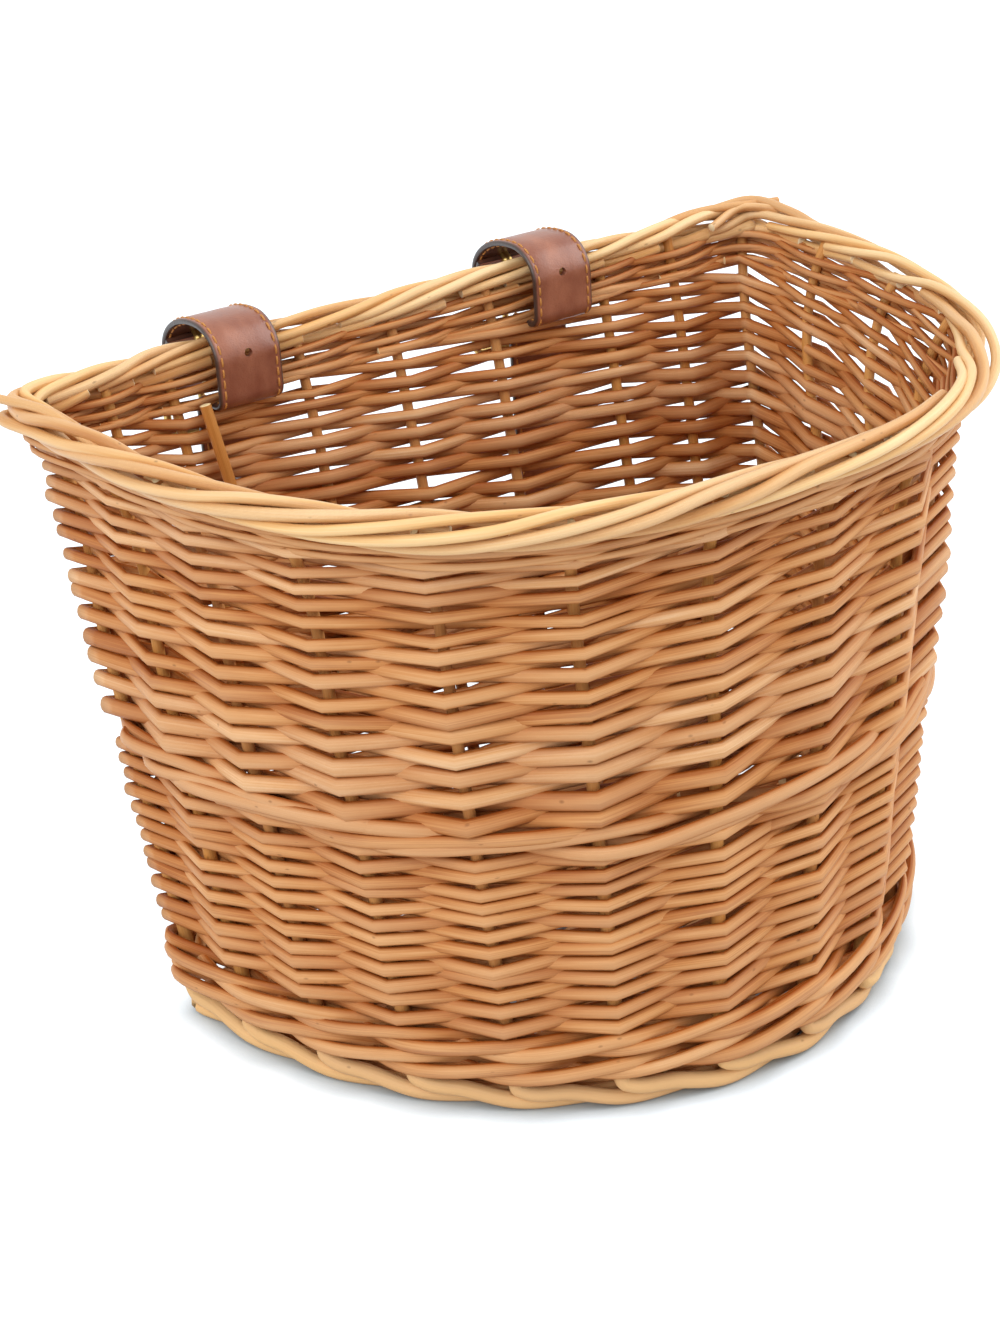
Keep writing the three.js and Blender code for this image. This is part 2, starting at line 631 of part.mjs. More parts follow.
// The prong: an eye round the heel bar and a tapered tongue whose end lies on the frame's far bar
function prongGeometry() {
  const inner = BUCKLE_WIRE / 2 + CLEARANCE;
  const outer = inner + PRONG_EYE_WALL;
  const eye = new THREE.Shape().absarc(0, 0, outer, 0, 2 * Math.PI);
  eye.holes.push(new THREE.Path().absarc(0, 0, inner, 0, 2 * Math.PI, true));
  const ring = new THREE.ExtrudeGeometry(eye, { depth: PRONG_WIDTH, bevelEnabled: false, curveSegments: 6 });
  ring.translate(0, 0, -PRONG_WIDTH / 2).rotateY(Math.PI / 2);
  const start = inner + PRONG_EYE_WALL / 2;
  const length = BUCKLE_HEIGHT + PRONG_OVERHANG - start;
  const butt = PRONG_WIDTH / 2;
  const tongue = new THREE.CylinderGeometry(butt, PRONG_TIP_DIAMETER / 2, length, WIRE_SIDES);
  tongue.rotateX(Math.PI / 2).translate(0, 0, -start - length / 2);
  const rest = BUCKLE_WIRE / 2 + CLEARANCE + PRONG_WIDTH / 2;
  tongue.rotateX(Math.asin(rest / BUCKLE_HEIGHT));
  return toGeometry(toSolid(ring).add(toSolid(tongue)));
}

for (const [side, x] of [["left", STRAP_LEFT_X], ["right", STRAP_RIGHT_X]]) {
  const strap = add(`strap_${side}`, strapGeometry(), leather);
  strap.position.set(x, 0, RIM_HEIGHT);
  const rivet = add(`rivet_${side}`, rivetGeometry(), brass);
  rivet.position.copy(strap.position);
  const frame = add(`buckle_frame_${side}`, frameGeometry(), brass);
  frame.position.set(x, heelY, RIM_HEIGHT + heelZ);
  const prong = add(`buckle_prong_${side}`, prongGeometry(), brass);
  prong.position.copy(frame.position);
}

// All of the above is drawn from the middle of the back rim; here it moves over its own footprint
const middle = new THREE.Box3().setFromObject(basket).getCenter(new THREE.Vector3());
for (const mesh of basket.children) {
  mesh.position.x -= middle.x;
  mesh.position.y -= middle.y;
}

export default basket;
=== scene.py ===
"""A willow bicycle basket with two leather straps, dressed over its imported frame. Sizes are in millimetres,
drawn from the middle of the back rim, and moved to the frame's own place when a mesh is made."""

import bpy
import numpy as np
from mathutils import Matrix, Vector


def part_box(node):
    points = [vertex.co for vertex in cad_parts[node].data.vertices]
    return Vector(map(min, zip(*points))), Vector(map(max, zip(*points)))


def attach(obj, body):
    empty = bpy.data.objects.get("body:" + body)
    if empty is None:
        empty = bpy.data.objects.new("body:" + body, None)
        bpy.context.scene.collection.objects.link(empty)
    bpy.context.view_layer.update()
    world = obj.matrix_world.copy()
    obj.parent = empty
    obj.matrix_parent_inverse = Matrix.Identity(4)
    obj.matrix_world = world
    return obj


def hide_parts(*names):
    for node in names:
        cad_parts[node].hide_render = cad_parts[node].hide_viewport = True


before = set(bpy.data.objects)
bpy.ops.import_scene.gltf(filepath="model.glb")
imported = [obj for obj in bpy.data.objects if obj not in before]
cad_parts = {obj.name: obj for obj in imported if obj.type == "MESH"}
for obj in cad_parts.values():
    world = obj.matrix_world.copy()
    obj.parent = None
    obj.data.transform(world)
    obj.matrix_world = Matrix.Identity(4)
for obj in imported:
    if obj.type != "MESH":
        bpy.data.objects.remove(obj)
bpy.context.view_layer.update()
rng = np.random.default_rng(41)

# Outline: the rim's D, the wall's D under it and the D at the ground
RIM_WIDTH, RIM_DEPTH, RIM_POWER, RIM_HEIGHT = 348, 246.5, 2.7, 248
WALL_INSET, WALL_SETBACK = 10, 2.6
FRONT_FLARE, BACK_FLARE, FLARE_POWER = 5.0, 1.0, 1.5
FLARE_START, FLARE_RISE = 226, 20
BASE_WIDTH, BASE_DEPTH, BASE_POWER, BASE_SETBACK = 300, 172, 1.9, 54
FRONT_SPANS = 13
STRAP_X = {"left": -82, "right": 64}
STRAP_PASSAGE = 57
OUTLINE_POINTS = 4001
MITRE_LIMIT = 0.77

# Rods: sides, room for the grain, rounded ends, and a shade-to-pale value, from 0 for painted shade in a seam
# between rods to 1 for the palest mix; on woven rods' open faces the pale is a painted highlight
ROD_SIDES, FINE_SIDES, WIRE_SIDES, THREAD_SIDES = 10, 12, 14, 6
GRAIN_ALONG, GRAIN_AROUND = 900, 90
END_RISE, END_SHARE = 0.12, 0.82
PLAIN_SHADE_TO_PALE, WOVEN_SHADE_TO_PALE, FOOT_SHADE_TO_PALE = 0.5, 0.8, 1
SHADE_BY_DEPTH, SHADE_BY_FACING = 0.45, 0.8

# Stakes from the top down: stakes passed, share of lean, height, share of drop, outward, share of flare
FOOT_LINE = 3.3
STAKE_KNOTS = [
    (0, 1, RIM_HEIGHT, 0, 0, 0.8),
    (0, 1, 241, 0, 0, 0.3),
    (0, 1, 230, 0, 0, 0),
    (0, 0.5, 150, 0, 0, 0),
    (0, 0, 60, 0, 0, 0),
    (0, 0, 22, 0, 0, 0),
    (0, 0, 14.4, 0, 0.6, 0),
    (0.02, 0, 10.6, 1, 2.2, 0),
    (0.08, 0, 9.6, 1, 2.9, 0),
    (0.5, 0, 7.6, 0, 2.8, 0),
    (1, 0, 3.6, 0, 1.2, 0),
    (1.5, 0, FOOT_LINE, 0, -0.8, 0),
    (1.9, 0, FOOT_LINE, 0, -5, 0),
    (2.2, 0, FOOT_LINE, 0, -9, 0),
]
STAKE_STEPS = 7
STAKE_BUTT, STAKE_TIP, STAKE_REACH = 6.2, 4.2, 2.2
STAKE_SPREAD, STAKE_LEAN, FOOT_DROP, STAKE_TINTS = (0.94, 1.06), 0.025, 0.5, (0.35, 1)
TAPER_LOW, TAPER_HIGH, TAPER_POWER = 14, 236, 0.5
PALE_LOW, PALE_HIGH = 12, 20
FOOT_END_STEPS, FOOT_END = 12, 0.75
LOOSE_ROD = [(-101.5, -13.8, 233.3), (-97.6, -20.2, 202.3), (-94.6, -24, 172)]
LOOSE_ROD_RADII, LOOSE_ROD_TINT = [2.3, 2.4, 2.5], 0.35

# Weave: how oval its rods are pressed, how sharply they kink at a stake, and how far they stray
PRESSED = 0.77, 1.14
KINK = 0.97
STEPS_PER_SPAN = 8
BAND_END, BAND_LAP = 0.25, 0.92
BAND_SPREAD, BAND_WANDER, BAND_LIFT, BAND_STRAY = (0.88, 1.1), 0.75, 0.4, 0.3
WALE_SPREAD, WALE_WANDER, WALE_STRAY, WALE_TAPER = (0.9, 1.1), 0.35, 0.25, (1.08, 0.88)

# Border: rods that turn round the rim, some with ends in sight, and one loose where others are drawn in
BORDER_REACH = 7.1
BORDER_RODS, BORDER_ROD = 30, 4.9
BORDER_TURN_SPANS, BORDER_FIRST_TURN = 4.1, -2.6
BORDER_FIRST_SPANS, BORDER_KNOT_SPANS, LAST_KNOT_ROOM = [0, 0.06, 0.2, 0.5], 0.5, 0.1
BORDER_STEPS, SHORTEST_STEP = 6, 0.05
BORDER_SPREAD, BORDER_TAPER, BORDER_TINTS = (0.84, 1.08), (1.04, 0.86), (0.1, 1)
BORDER_SPANS, BORDER_SUNK, BORDER_TUCK, TUCK_SPANS = (3.8, 4.3), -1, -2.2, 0.8
OPEN_ENDS, OPEN_SPANS, OPEN_TUCK = (4, 11, 12, 13, 23), 3.5, 0.6
TURN_WANDER, REACH_WANDER = 0.22, 0.6
LOOSE_BORDER_ROD, DRAWN_IN, DRAWN_IN_AT, DRAWN_IN_SPANS = 8, 4.5, 3.9, 0.6
CORNER_TIPS = [
    [(100, 0, 247), (142, 1.5, 254.6), (184, -5, 253.4)],
    [(172, -66, 247), (175.4, -24, 254.6), (172, 3, 254.4), (160, 8, 252.2)],
    [(-170, -78, 247), (-174.6, -30, 254.2), (-180.6, -3, 252.8)],
]
CORNER_TIP_STEPS, CORNER_TIP_RADII, CORNER_TIP_TINTS = 8, (2.2, 1.7), (0.3, 0.8)

# Base inside the foot, with the outward reach and the height of the rods along its edge
BASE_STICKS, STICK_KNOTS, STICK_STEPS, STICK_STRAY, STICK_SPREAD = 7, 14, 3, 0.4, (0.92, 1.02)
BASE_STICK, BASE_ROD, BASE_ROW_PITCH, BASE_ROW_STRAY = 6, 4.6, 6.1, 0.3
BASE_ROD_STEPS, BASE_ROD_TAPER, BASE_ROD_LAP, ROW_END_ROOM = 8, (1.08, 0.85), 0.5, 8
BASE_HEIGHT, BASE_INSET = 8.9, 12
BASE_BACK, BASE_FRONT = -64, -205
BASE_EDGE = [(-5.4, 12.5), (-6.6, 8.2), (-6.6, 4.4), (-11, 10)]
BASE_EDGE_WANDER, BASE_EDGE_SPANS = 0.2, 0.25

# Straps: the profile's upper left quarter has shares of the half width, heights and shares of edge paint
STRAP_WIDTH, STRAP_THICKNESS, STRAP_TIP = 28, 2.4, 12
STRAP_PROFILE = [
    (-1, 0.45, 1), (-0.985, 0.85, 1), (-0.95, 1.1, 0.7), (-0.91, 1.2, 0),
    (-0.86, 1.2, 0), (-0.835, 1.04, 0), (-0.81, 1.2, 0), (-0.4, 1.26, 0),
]
STRAP_STEP, TIP_BLUNT, TIP_ROUND = 1.1, 0.02, 0.55
FRONT_REACH, BACK_REACH, ARCH_RISE, LEG_TOP = 15.4, 31.5, 12.6, -6
FOLD_RADIUS, FLAP_TURN, LAYER_STEP = 3.2, 0.393, 2.8
BEND_RADIUS, HANG_RADIUS, STRAP_HANG, TAIL_LENGTH = 5, 4.2, 5.2, 120
FLAP_POINTS, FOLD_POINTS, BACK_POINTS, FRONT_POINTS, BEND_POINTS = 12, 24, 40, 30, 16
FIRST_STITCH, STITCH_PITCH, STITCH_LENGTH, STITCH_INSET = 3, 4.4, 3.1, 2.3
STITCH_POINTS, STITCH_SUNK, THREAD_RADIUS = 7, 0.25, 0.42
HOLE, HOLE_REACH, HOLE_SIDES, INSIDE_HOLE_LIFT = 3.4, 4, 24, 2.7
TAIL_HOLES, FIRST_TAIL_HOLE, TAIL_HOLE_SPACING = 4, 24, 20
PRONG_SLOT_WIDTH, PRONG_SLOT_LENGTH, PRONG_SLOT_FOLDS = 4.2, 10, 2.2
SHARP_ANGLE = 0.8

# Metal of the straps: the rivet's dome has shares of the head's radius and heights
RIVET_HEAD, RIVET_TURN, RIVET_BACK, RIVET_PROUD = 4.8, 0.34, 1.7, 0.1
RIVET_DOME = [(1 / 120, 1.5), (0.35, 1.45), (0.65, 1.2), (0.88, 0.8), (1, 0.3), (1, 0)]
RIVET_SIDES, RIVET_GRAIN = 32, 3
HEEL_Y, HEEL_Z = 28.3, -18
BUCKLE_WIRE, BUCKLE_HEIGHT, BUCKLE_HALF_WIDTH, BUCKLE_CORNER = 3.2, 22, 16.6, 3
BUCKLE_STEP, CORNER_POINTS = 2, 9
PRONG_WIDTH, PRONG_TIP, PRONG_OVERHANG, PRONG_ROOM = 3, 2, 2.5, 0.8
PRONG_POINTS, PRONG_ROUNDING = 16, [(-0.3, 0.85), (0, 0.45)]
PRONG_EYE, EYE_STEPS, EYE_WIRE, EYE_RINGS = 2.8, 28, 0.76, (-0.75, 0, 0.75)

# Colours, as a screen shows them, and the painted shade of a seam between rods, as what it leaves of each;
# the weave's and border's highlight colours are painted highlights
WEAVE_TONES, WEAVE_HIGHLIGHT, WEAVE_END = ["ae6a37", "c88a51", "d69f6a", "e4b98d"], "e8c8a0", "e6cf9f"
STAKE_TONES, STAKE_PALE, STAKE_END = ["b3702f", "cc8e48", "dca862"], "ecca98", "e6cf9f"
BORDER_TONES, BORDER_HIGHLIGHT, BORDER_END = ["dba25e", "e8bb7c", "f0d09c"], "f6dab0", "f2e2bb"
BLUSH, SPECK = "be8458", "6b3f22"
LEATHER_TONES, LEATHER_PORE = ["834a36", "935a43", "a66a50"], "4a261b"
# The leather's flesh colour is partly its own and partly painted shade of the strap's underside
LEATHER_FLESH_AND_SHADE, LEATHER_EDGE = "3f2a22", "3a2a25"
THREAD_TONES = ["a8672a", "d79a4e"]
BRASS_TONES = ["b08f4e", "d6b873", "e6cf94"]
SEAM_SHADE = 0.58, 0.32, 0.11, 1

# Willow's tone, from what its rod, blotches and grain add, and the strength of its marks and of leather's,
# whose darkened flesh side is partly painted shade
TONE_SHIFT, TINT_SHARE, BLOTCH_SHARE, FINE_SHARE, STREAK_SHARE = -0.33, 0.75, 0.9, 0.75, 0.7
TINT_LOTS, SPECK_SHARE, SPECK_HEIGHT = 97.0, 0.6, -0.5
FLESH_AND_SHADE_SHARE, CREASE_HEIGHT, PORE_HEIGHT = 0.75, 0.6, 0.7

# Stage: the floor's colour in its light and to the eye, its glow, the reach and samples of the painted
# contact shadow that dims the glow near the basket, and lamps by direction and strength
FLOOR_SIZE = 12
FLOOR_LIGHT, FLOOR_SEEN = (0.66, 0.66, 0.66, 1), (0.42, 0.49, 0.54, 1)
FLOOR_GLOW, CONTACT_REACH, CONTACT_SAMPLES = 0.74, 0.017, 12
WHITE = 1, 1, 1, 1
SKY_LIGHT = 0.7
SUNS = {"left": ((-1, -0.25, 0.85), 1.7), "right": ((1, -0.42, 0.8), 1.78)}
SUN_ANGLE, LAMP_TOP = 60, (0, 1, 0.01)

# Camera, from the photograph's outline: angles in degrees, lengths in millimetres, frame in pixels
AZIMUTH, ELEVATION, ROLL = -31.837, 25.571, -3.5
DISTANCE, FOCAL = 1106.77, 2816.33
TARGET = np.array([-16.947, -95.778, 124.668])
PRINCIPAL = np.array([521.205, 669.26])
IMAGE = np.array([1000, 1333])
SENSOR = 36

# Where the frame puts the middle of the back rim, and how far under it the straps go through the wall
MILLIMETRES = 1000
buckle_low, buckle_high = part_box("buckle_frame_left")
PLACE = np.array([
    (buckle_low[0] + buckle_high[0]) / 2 * MILLIMETRES - STRAP_X["left"],
    (buckle_low[1] + buckle_high[1]) / 2 * MILLIMETRES - HEEL_Y,
    0,
])
SLOT_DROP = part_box("strap_left")[0][2] * MILLIMETRES - RIM_HEIGHT + TAIL_LENGTH


# Lines

def unit(v):
    return v / np.linalg.norm(v, axis=-1, keepdims=True)


def distances(line):
    """How far along a line each of its points lies."""
    return np.concatenate([[0], np.cumsum(np.linalg.norm(np.diff(line, axis=0), axis=1))])


def spline(knots, per):
    """A smooth line through the knots, with a number of steps between each two."""
    knots = np.asarray(knots, float)
    gap = np.linalg.norm(np.diff(knots, axis=0), axis=1)
    t = np.concatenate([[0], np.cumsum(np.maximum(gap, 1e-6))])
    slope = np.gradient(knots, t, axis=0)
    u = np.linspace(0, 1, per, endpoint=False)[:, None]
    line = []
    for i, width in enumerate(np.diff(t)):
        a, b = knots[i], knots[i + 1]
        p, q = slope[i] * width, slope[i + 1] * width
        line.append(a + p * u + (3 * (b - a) - 2 * p - q) * u**2 + (2 * (a - b) + p + q) * u**3)
    return np.vstack(line + [knots[-1:]])


def wander(t, size):
    """A slow random drift along a rod, one new value for each stake that it passes."""
    knots = np.arange(np.floor(t[0]), np.ceil(t[-1]) + 1)
    return np.interp(t, knots, rng.normal(0, size, len(knots)))


# Meshes

class Rods:
    """Tubes gathered for one mesh, each with its own tint and its own place on the grain."""

    def __init__(self):
        self.points, self.faces, self.uvs, self.tints, self.cuts, self.shade_to_pale_values = [], [], [], [], [], []
        self.count = 0

    def add(self, path, radius, sides=ROD_SIDES, up=(0, 0, 1), tint=None, closed=False, cut=1,
            shade_to_pale=PLAIN_SHADE_TO_PALE, core=None, full=1, pressed=(1, 1)):
        """One tube. A core is the middle of what the rod lies in and a line just outside it: points that are
        far from it, up to full, and face out or in get a pale painted highlight, and those against other rods
        get painted shade. A pressed rod is oval: its thickness and its height are shares of the radius."""
        path = np.asarray(path, float)
        n = len(path)
        radius = np.broadcast_to(np.asarray(radius, float), (n,))
        if closed:
            ahead, behind = np.roll(path, -1, 0), np.roll(path, 1, 0)
        else:
            ahead, behind = np.vstack([path[1:], path[-1:]]), np.vstack([path[:1], path[:-1]])
        along = unit(ahead - behind)
        side = unit(np.cross(along, up))
        lift = np.cross(side, along)
        turn = np.arange(sides) * 2 * np.pi / sides
        cos, sin = np.cos(turn)[None, :, None], np.sin(turn)[None, :, None]
        ring = cos * side[:, None] + sin * lift[:, None]
        oval = cos * pressed[0] * side[:, None] + sin * pressed[1] * lift[:, None]
        shell = path[:, None] + radius[:, None, None] * oval
        if tint is None:
            tint = rng.random()
        length = distances(path) + rng.random() * GRAIN_ALONG
        around = np.arange(sides + 1) / sides * 2 * np.pi * radius.mean() + rng.random() * GRAIN_AROUND
        shade_to_pale = np.repeat(np.broadcast_to(shade_to_pale, (n,)), sides)
        # Painted light: points deep in the wall or against other rods get painted shade, and points on open
        # faces get a painted highlight
        if core is not None:
            spine, outer = core
            far = np.linalg.norm(shell - spine[:, None], axis=2) / np.broadcast_to(full, (n,))[:, None]
            facing = np.abs((ring * unit(outer - spine)[:, None]).sum(2))
            shade_to_pale = WOVEN_SHADE_TO_PALE * (1 + SHADE_BY_DEPTH * (far - 1)) * (1 + SHADE_BY_FACING * (facing - 1))
        start = self.count
        self.keep(shell.reshape(-1, 3), tint, 0, np.ravel(shade_to_pale))
        for i in range(n if closed else n - 1):
            here, there = start + i * sides, start + (i + 1) % n * sides
            u = length[i], length[i] + np.linalg.norm(path[(i + 1) % n] - path[i])
            for k in range(sides):
                other = (k + 1) % sides
                self.faces.append((here + k, there + k, there + other, here + other))
                v = around[k], around[k + 1]
                self.uvs += [(u[0], v[0]), (u[1], v[0]), (u[1], v[1]), (u[0], v[1])]
        if not closed:
            self.cap(shell[0], path[0] - along[0] * radius[0] * END_RISE, tint, cut, False)
            self.cap(shell[-1], path[-1] + along[-1] * radius[-1] * END_RISE, tint, cut, True)

    def keep(self, points, tint, cut, shade_to_pale):
        n = len(points)
        self.points.append(points)
        self.tints.append(np.full(n, tint))
        self.cuts.append(np.full(n, float(cut)))
        self.shade_to_pale_values.append(np.broadcast_to(shade_to_pale, (n,)))
        self.count += n

    def cap(self, ring, tip, tint, cut, last):
        sides = len(ring)
        start = self.count
        inner = tip + (ring - ring.mean(0)) * END_SHARE
        self.keep(np.vstack([ring, inner]), tint, cut, WOVEN_SHADE_TO_PALE)
        order = list(range(sides))[::-1 if last else 1]
        for a, b in zip(order, order[1:] + order[:1]):
            self.faces.append((start + a, start + b, start + sides + b, start + sides + a))
            self.uvs += [tuple(p) for p in (ring[a, :2], ring[b, :2], inner[b, :2], inner[a, :2])]
        self.faces.append(tuple(start + sides + k for k in order))
        self.uvs += [tuple(inner[k, :2]) for k in order]

    def make(self, name, material, nodes, slot, body="basket"):
        points = np.vstack(self.points)
        fields = {"tint": self.tints, "cut": self.cuts, "shade_to_pale": self.shade_to_pale_values}
        fields = {label: np.concatenate(values) for label, values in fields.items()}
        dress(name, mesh_of(name, points, self.faces, self.uvs, fields), material, nodes, body)


def mesh_of(name, points, faces, uvs=None, fields=None):
    mesh = bpy.data.meshes.new(name)
    mesh.from_pydata(((np.asarray(points) + PLACE) / MILLIMETRES).tolist(), [], faces)
    if uvs is not None:
        layer = mesh.uv_layers.new(name="grain")
        layer.data.foreach_set("uv", np.asarray(uvs, np.float32).ravel())
    for label, values in (fields or {}).items():
        field = mesh.attributes.new(label, "FLOAT", "POINT")
        field.data.foreach_set("value", np.asarray(values, np.float32))
    return mesh


def linked(name, data):
    made = bpy.data.objects.new(name, data)
    bpy.context.scene.collection.objects.link(made)
    return made


def dress(name, mesh, material, nodes, body="basket"):
    mesh.polygons.foreach_set("use_smooth", np.ones(len(mesh.polygons), bool))
    mesh.materials.clear()
    mesh.materials.append(material)
    piece = linked(name, mesh)
    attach(piece, body)
    if nodes:
        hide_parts(*nodes)


# Materials

def rgba(code):
    """A colour as a screen shows it, turned into light."""
    v = np.array([int(code[i:i + 2], 16) for i in (0, 2, 4)]) / 255
    return (*(float(c) for c in np.where(v <= 0.04045, v / 12.92, ((v + 0.055) / 1.055) ** 2.4)), 1)


class Graph:
    """A short way to write the nodes of a material or of the world."""

    def __init__(self, owner):
        self.owner = owner
        self.owner.use_nodes = True
        self.tree = owner.node_tree

    def node(self, kind, inputs=None, **settings):
        made = self.tree.nodes.new("ShaderNode" + kind)
        for key, value in settings.items():
            setattr(made, key, value)
        for key, value in (inputs or {}).items():
            self.feed(made.inputs[key], value)
        return made

    def feed(self, socket, value):
        if isinstance(value, bpy.types.NodeSocket):
            self.tree.links.new(value, socket)
        else:
            socket.default_value = value

    def shade(self, **values):
        """Feeds sockets of the surface's shader, named with _ for each space."""
        for name, value in values.items():
            self.feed(self.tree.nodes["Principled BSDF"].inputs[name.replace("_", " ")], value)

    def math(self, operation, a, b=0.0, c=0.0, clamp=False):
        return self.node("Math", {0: a, 1: b, 2: c}, operation=operation, use_clamp=clamp).outputs[0]

    def sway(self, noise, size, value, clamp=False):
        """A value that a noise moves up and down."""
        return self.math("MULTIPLY_ADD", self.math("SUBTRACT", noise, 0.5), size, value, clamp)

    def mix(self, share, a, b, blend="MIX"):
        return self.node("Mix", {0: share, 6: a, 7: b}, data_type="RGBA", blend_type=blend).outputs[2]

    def ramp(self, value, stops):
        made = self.node("ValToRGB", {0: value})
        bar = made.color_ramp.elements
        while len(bar) < len(stops):
            bar.new(0.5)
        for element, (at, colour) in zip(bar, stops):
            element.position = at
            element.color = colour if isinstance(colour, tuple) else (colour, colour, colour, 1)
        return made.outputs[0]

    def tones(self, value, places, codes):
        return self.ramp(value, [(at, rgba(code)) for at, code in zip(places, codes)])

    def noise(self, vector, detail):
        inputs = {"Vector": vector, "Scale": 1.0, "Detail": detail, "Roughness": 0.55}
        return self.node("TexNoise", inputs).outputs[0]

    def cells(self, vector):
        return self.node("TexVoronoi", {"Vector": vector, "Scale": 1.0}).outputs["Distance"]

    def field(self, name):
        return self.node("Attribute", attribute_name=name).outputs["Fac"]

    def grain(self, along, around):
        """Place on the surface in millimetres, along a rod and around it, stretched by two factors."""
        place = self.node("UVMap", uv_map="grain").outputs[0]
        return self.node("Mapping", {"Vector": place, "Scale": (along, around, 1.0)}).outputs[0]

    def finish(self, colour, roughness, height, strength, distance):
        bump = self.node("Bump", {"Height": height, "Strength": strength, "Distance": distance})
        self.shade(Base_Color=colour, Roughness=roughness, Normal=bump.outputs[0])
        return self.owner


def willow(name, tones, pale, end, roughness, gloss, seam_shade):
    """Peeled willow: tone by rod, with streaks, slow blotches, painted shade in the seams between rods, a
    painted highlight on their open faces, dark specks and pale ends.
    """
    g = Graph(bpy.data.materials.new(name))
    streak = g.noise(g.grain(along=0.03, around=1.1), detail=4.0)
    blotch = g.noise(g.grain(along=0.02, around=0.06), detail=2.0)
    fine = g.noise(g.grain(along=0.012, around=2.6), detail=2.0)
    speck = g.cells(g.grain(along=0.075, around=0.14))
    tint, shade_to_pale = g.field("tint"), g.field("shade_to_pale")
    value = g.math("MULTIPLY_ADD", blotch, BLOTCH_SHARE, TONE_SHIFT)
    value = g.math("MULTIPLY_ADD", tint, TINT_SHARE, value)
    value = g.sway(fine, FINE_SHARE, value)
    value = g.sway(streak, STREAK_SHARE, value, clamp=True)
    colour = g.tones(value, np.linspace(0, 1, len(tones)), tones)
    seed = g.math("MULTIPLY", tint, TINT_LOTS)
    lot = g.node("TexWhiteNoise", {"W": seed}, noise_dimensions="1D").outputs[0]
    colour = g.mix(g.ramp(lot, [(0.45, 0.0), (0.9, 0.5)]), colour, rgba(BLUSH))
    # Painted shade where a rod lies against others, then a pale painted highlight on its open faces; the
    # stakes' feet take the palest mix
    colour = g.mix(g.ramp(shade_to_pale, [(0.2, seam_shade), (0.58, 0.0)]), colour, SEAM_SHADE, "MULTIPLY")
    colour = g.mix(g.ramp(shade_to_pale, [(0.5, 0.0), (0.8, 0.22), (1.0, 0.5)]), colour, rgba(pale))
    spot = g.ramp(speck, [(0.0, 1.0), (0.05, 0.55), (0.09, 0.0)])
    colour = g.mix(g.math("MULTIPLY", spot, SPECK_SHARE), colour, rgba(SPECK))
    colour = g.mix(g.field("cut"), colour, rgba(end))
    g.shade(Specular_IOR_Level=gloss)
    rough = g.ramp(streak, [(0.3, roughness - 0.08), (0.7, roughness + 0.1)])
    height = g.math("MULTIPLY_ADD", spot, SPECK_HEIGHT, streak)
    return g.finish(colour, rough, height, strength=0.5, distance=0.0004)


def leather(name):
    """Brown strap leather: fine pores, slow cloudiness, a dark flesh side that is partly painted shade of the
    strap's underside, and dark painted edges.
    """
    g = Graph(bpy.data.materials.new(name))
    cloud = g.noise(g.grain(along=0.05, around=0.09), detail=4.0)
    crease = g.noise(g.grain(along=0.5, around=0.12), detail=3.0)
    pores = g.cells(g.grain(along=1.5, around=1.5))
    colour = g.tones(cloud, (0.3, 0.5, 0.72), LEATHER_TONES)
    colour = g.mix(g.ramp(pores, [(0.05, 0.35), (0.3, 0.0)]), colour, rgba(LEATHER_PORE))
    # The flesh side is darkened partly as painted shade under the strap
    colour = g.mix(g.math("MULTIPLY", g.field("flesh_and_shade"), FLESH_AND_SHADE_SHARE), colour, rgba(LEATHER_FLESH_AND_SHADE))
    colour = g.mix(g.field("edge"), colour, rgba(LEATHER_EDGE))
    g.shade(Specular_IOR_Level=0.65)
    rough = g.ramp(cloud, [(0.3, 0.27), (0.7, 0.38)])
    height = g.math("MULTIPLY_ADD", crease, CREASE_HEIGHT, g.math("MULTIPLY", pores, PORE_HEIGHT))
    return g.finish(colour, rough, height, strength=0.25, distance=0.0003)


def thread(name):
    """Waxed thread, laid in small twisted stitches."""
    g = Graph(bpy.data.materials.new(name))
    place = g.grain(along=1.0, around=1.0)
    twist = g.node("TexWave", {"Vector": place, "Scale": 0.9, "Distortion": 0.6}).outputs[1]
    rough = g.ramp(twist, [(0.0, 0.7), (1.0, 0.5)])
    return g.finish(g.tones(twist, (0.2, 0.8), THREAD_TONES), rough, twist, strength=0.4, distance=0.0002)


def brass(name):
    """Pale brass: thin brushing and slow tarnish."""
    g = Graph(bpy.data.materials.new(name))
    brushed = g.noise(g.grain(along=0.25, around=2.5), detail=4.0)
    tarnish = g.noise(g.grain(along=0.12, around=0.2), detail=3.0)
    g.shade(Metallic=1.0)
    rough = g.ramp(tarnish, [(0.3, 0.42), (0.7, 0.24)])
    colour = g.tones(tarnish, (0.3, 0.55, 0.8), BRASS_TONES)
    return g.finish(colour, rough, brushed, strength=0.15, distance=0.0001)


WEAVE = willow("willow weave", WEAVE_TONES, WEAVE_HIGHLIGHT, WEAVE_END, roughness=0.5, gloss=0.16, seam_shade=1.0)
STAKE = willow("willow stake", STAKE_TONES, STAKE_PALE, STAKE_END, roughness=0.47, gloss=0.2, seam_shade=1.0)
BORDER = willow("willow border", BORDER_TONES, BORDER_HIGHLIGHT, BORDER_END, roughness=0.4, gloss=0.32, seam_shade=0.4)
LEATHER = leather("strap leather")
THREAD = thread("strap thread")
BRASS = brass("pale brass")


# Places on the wall and on the rim

def front_line(width, depth, power, y):
    """The bowed front of a D, from right to left, with the stakes passed at each point."""
    t = np.linspace(0, np.pi, OUTLINE_POINTS)
    c = np.cos(t)
    x = width / 2 * np.sign(c) * np.abs(c) ** (2 / power)
    line = np.stack([x, y - depth * np.sin(t) ** (2 / power)], -1)
    run = distances(line)
    return line, run / run[-1] * FRONT_SPANS


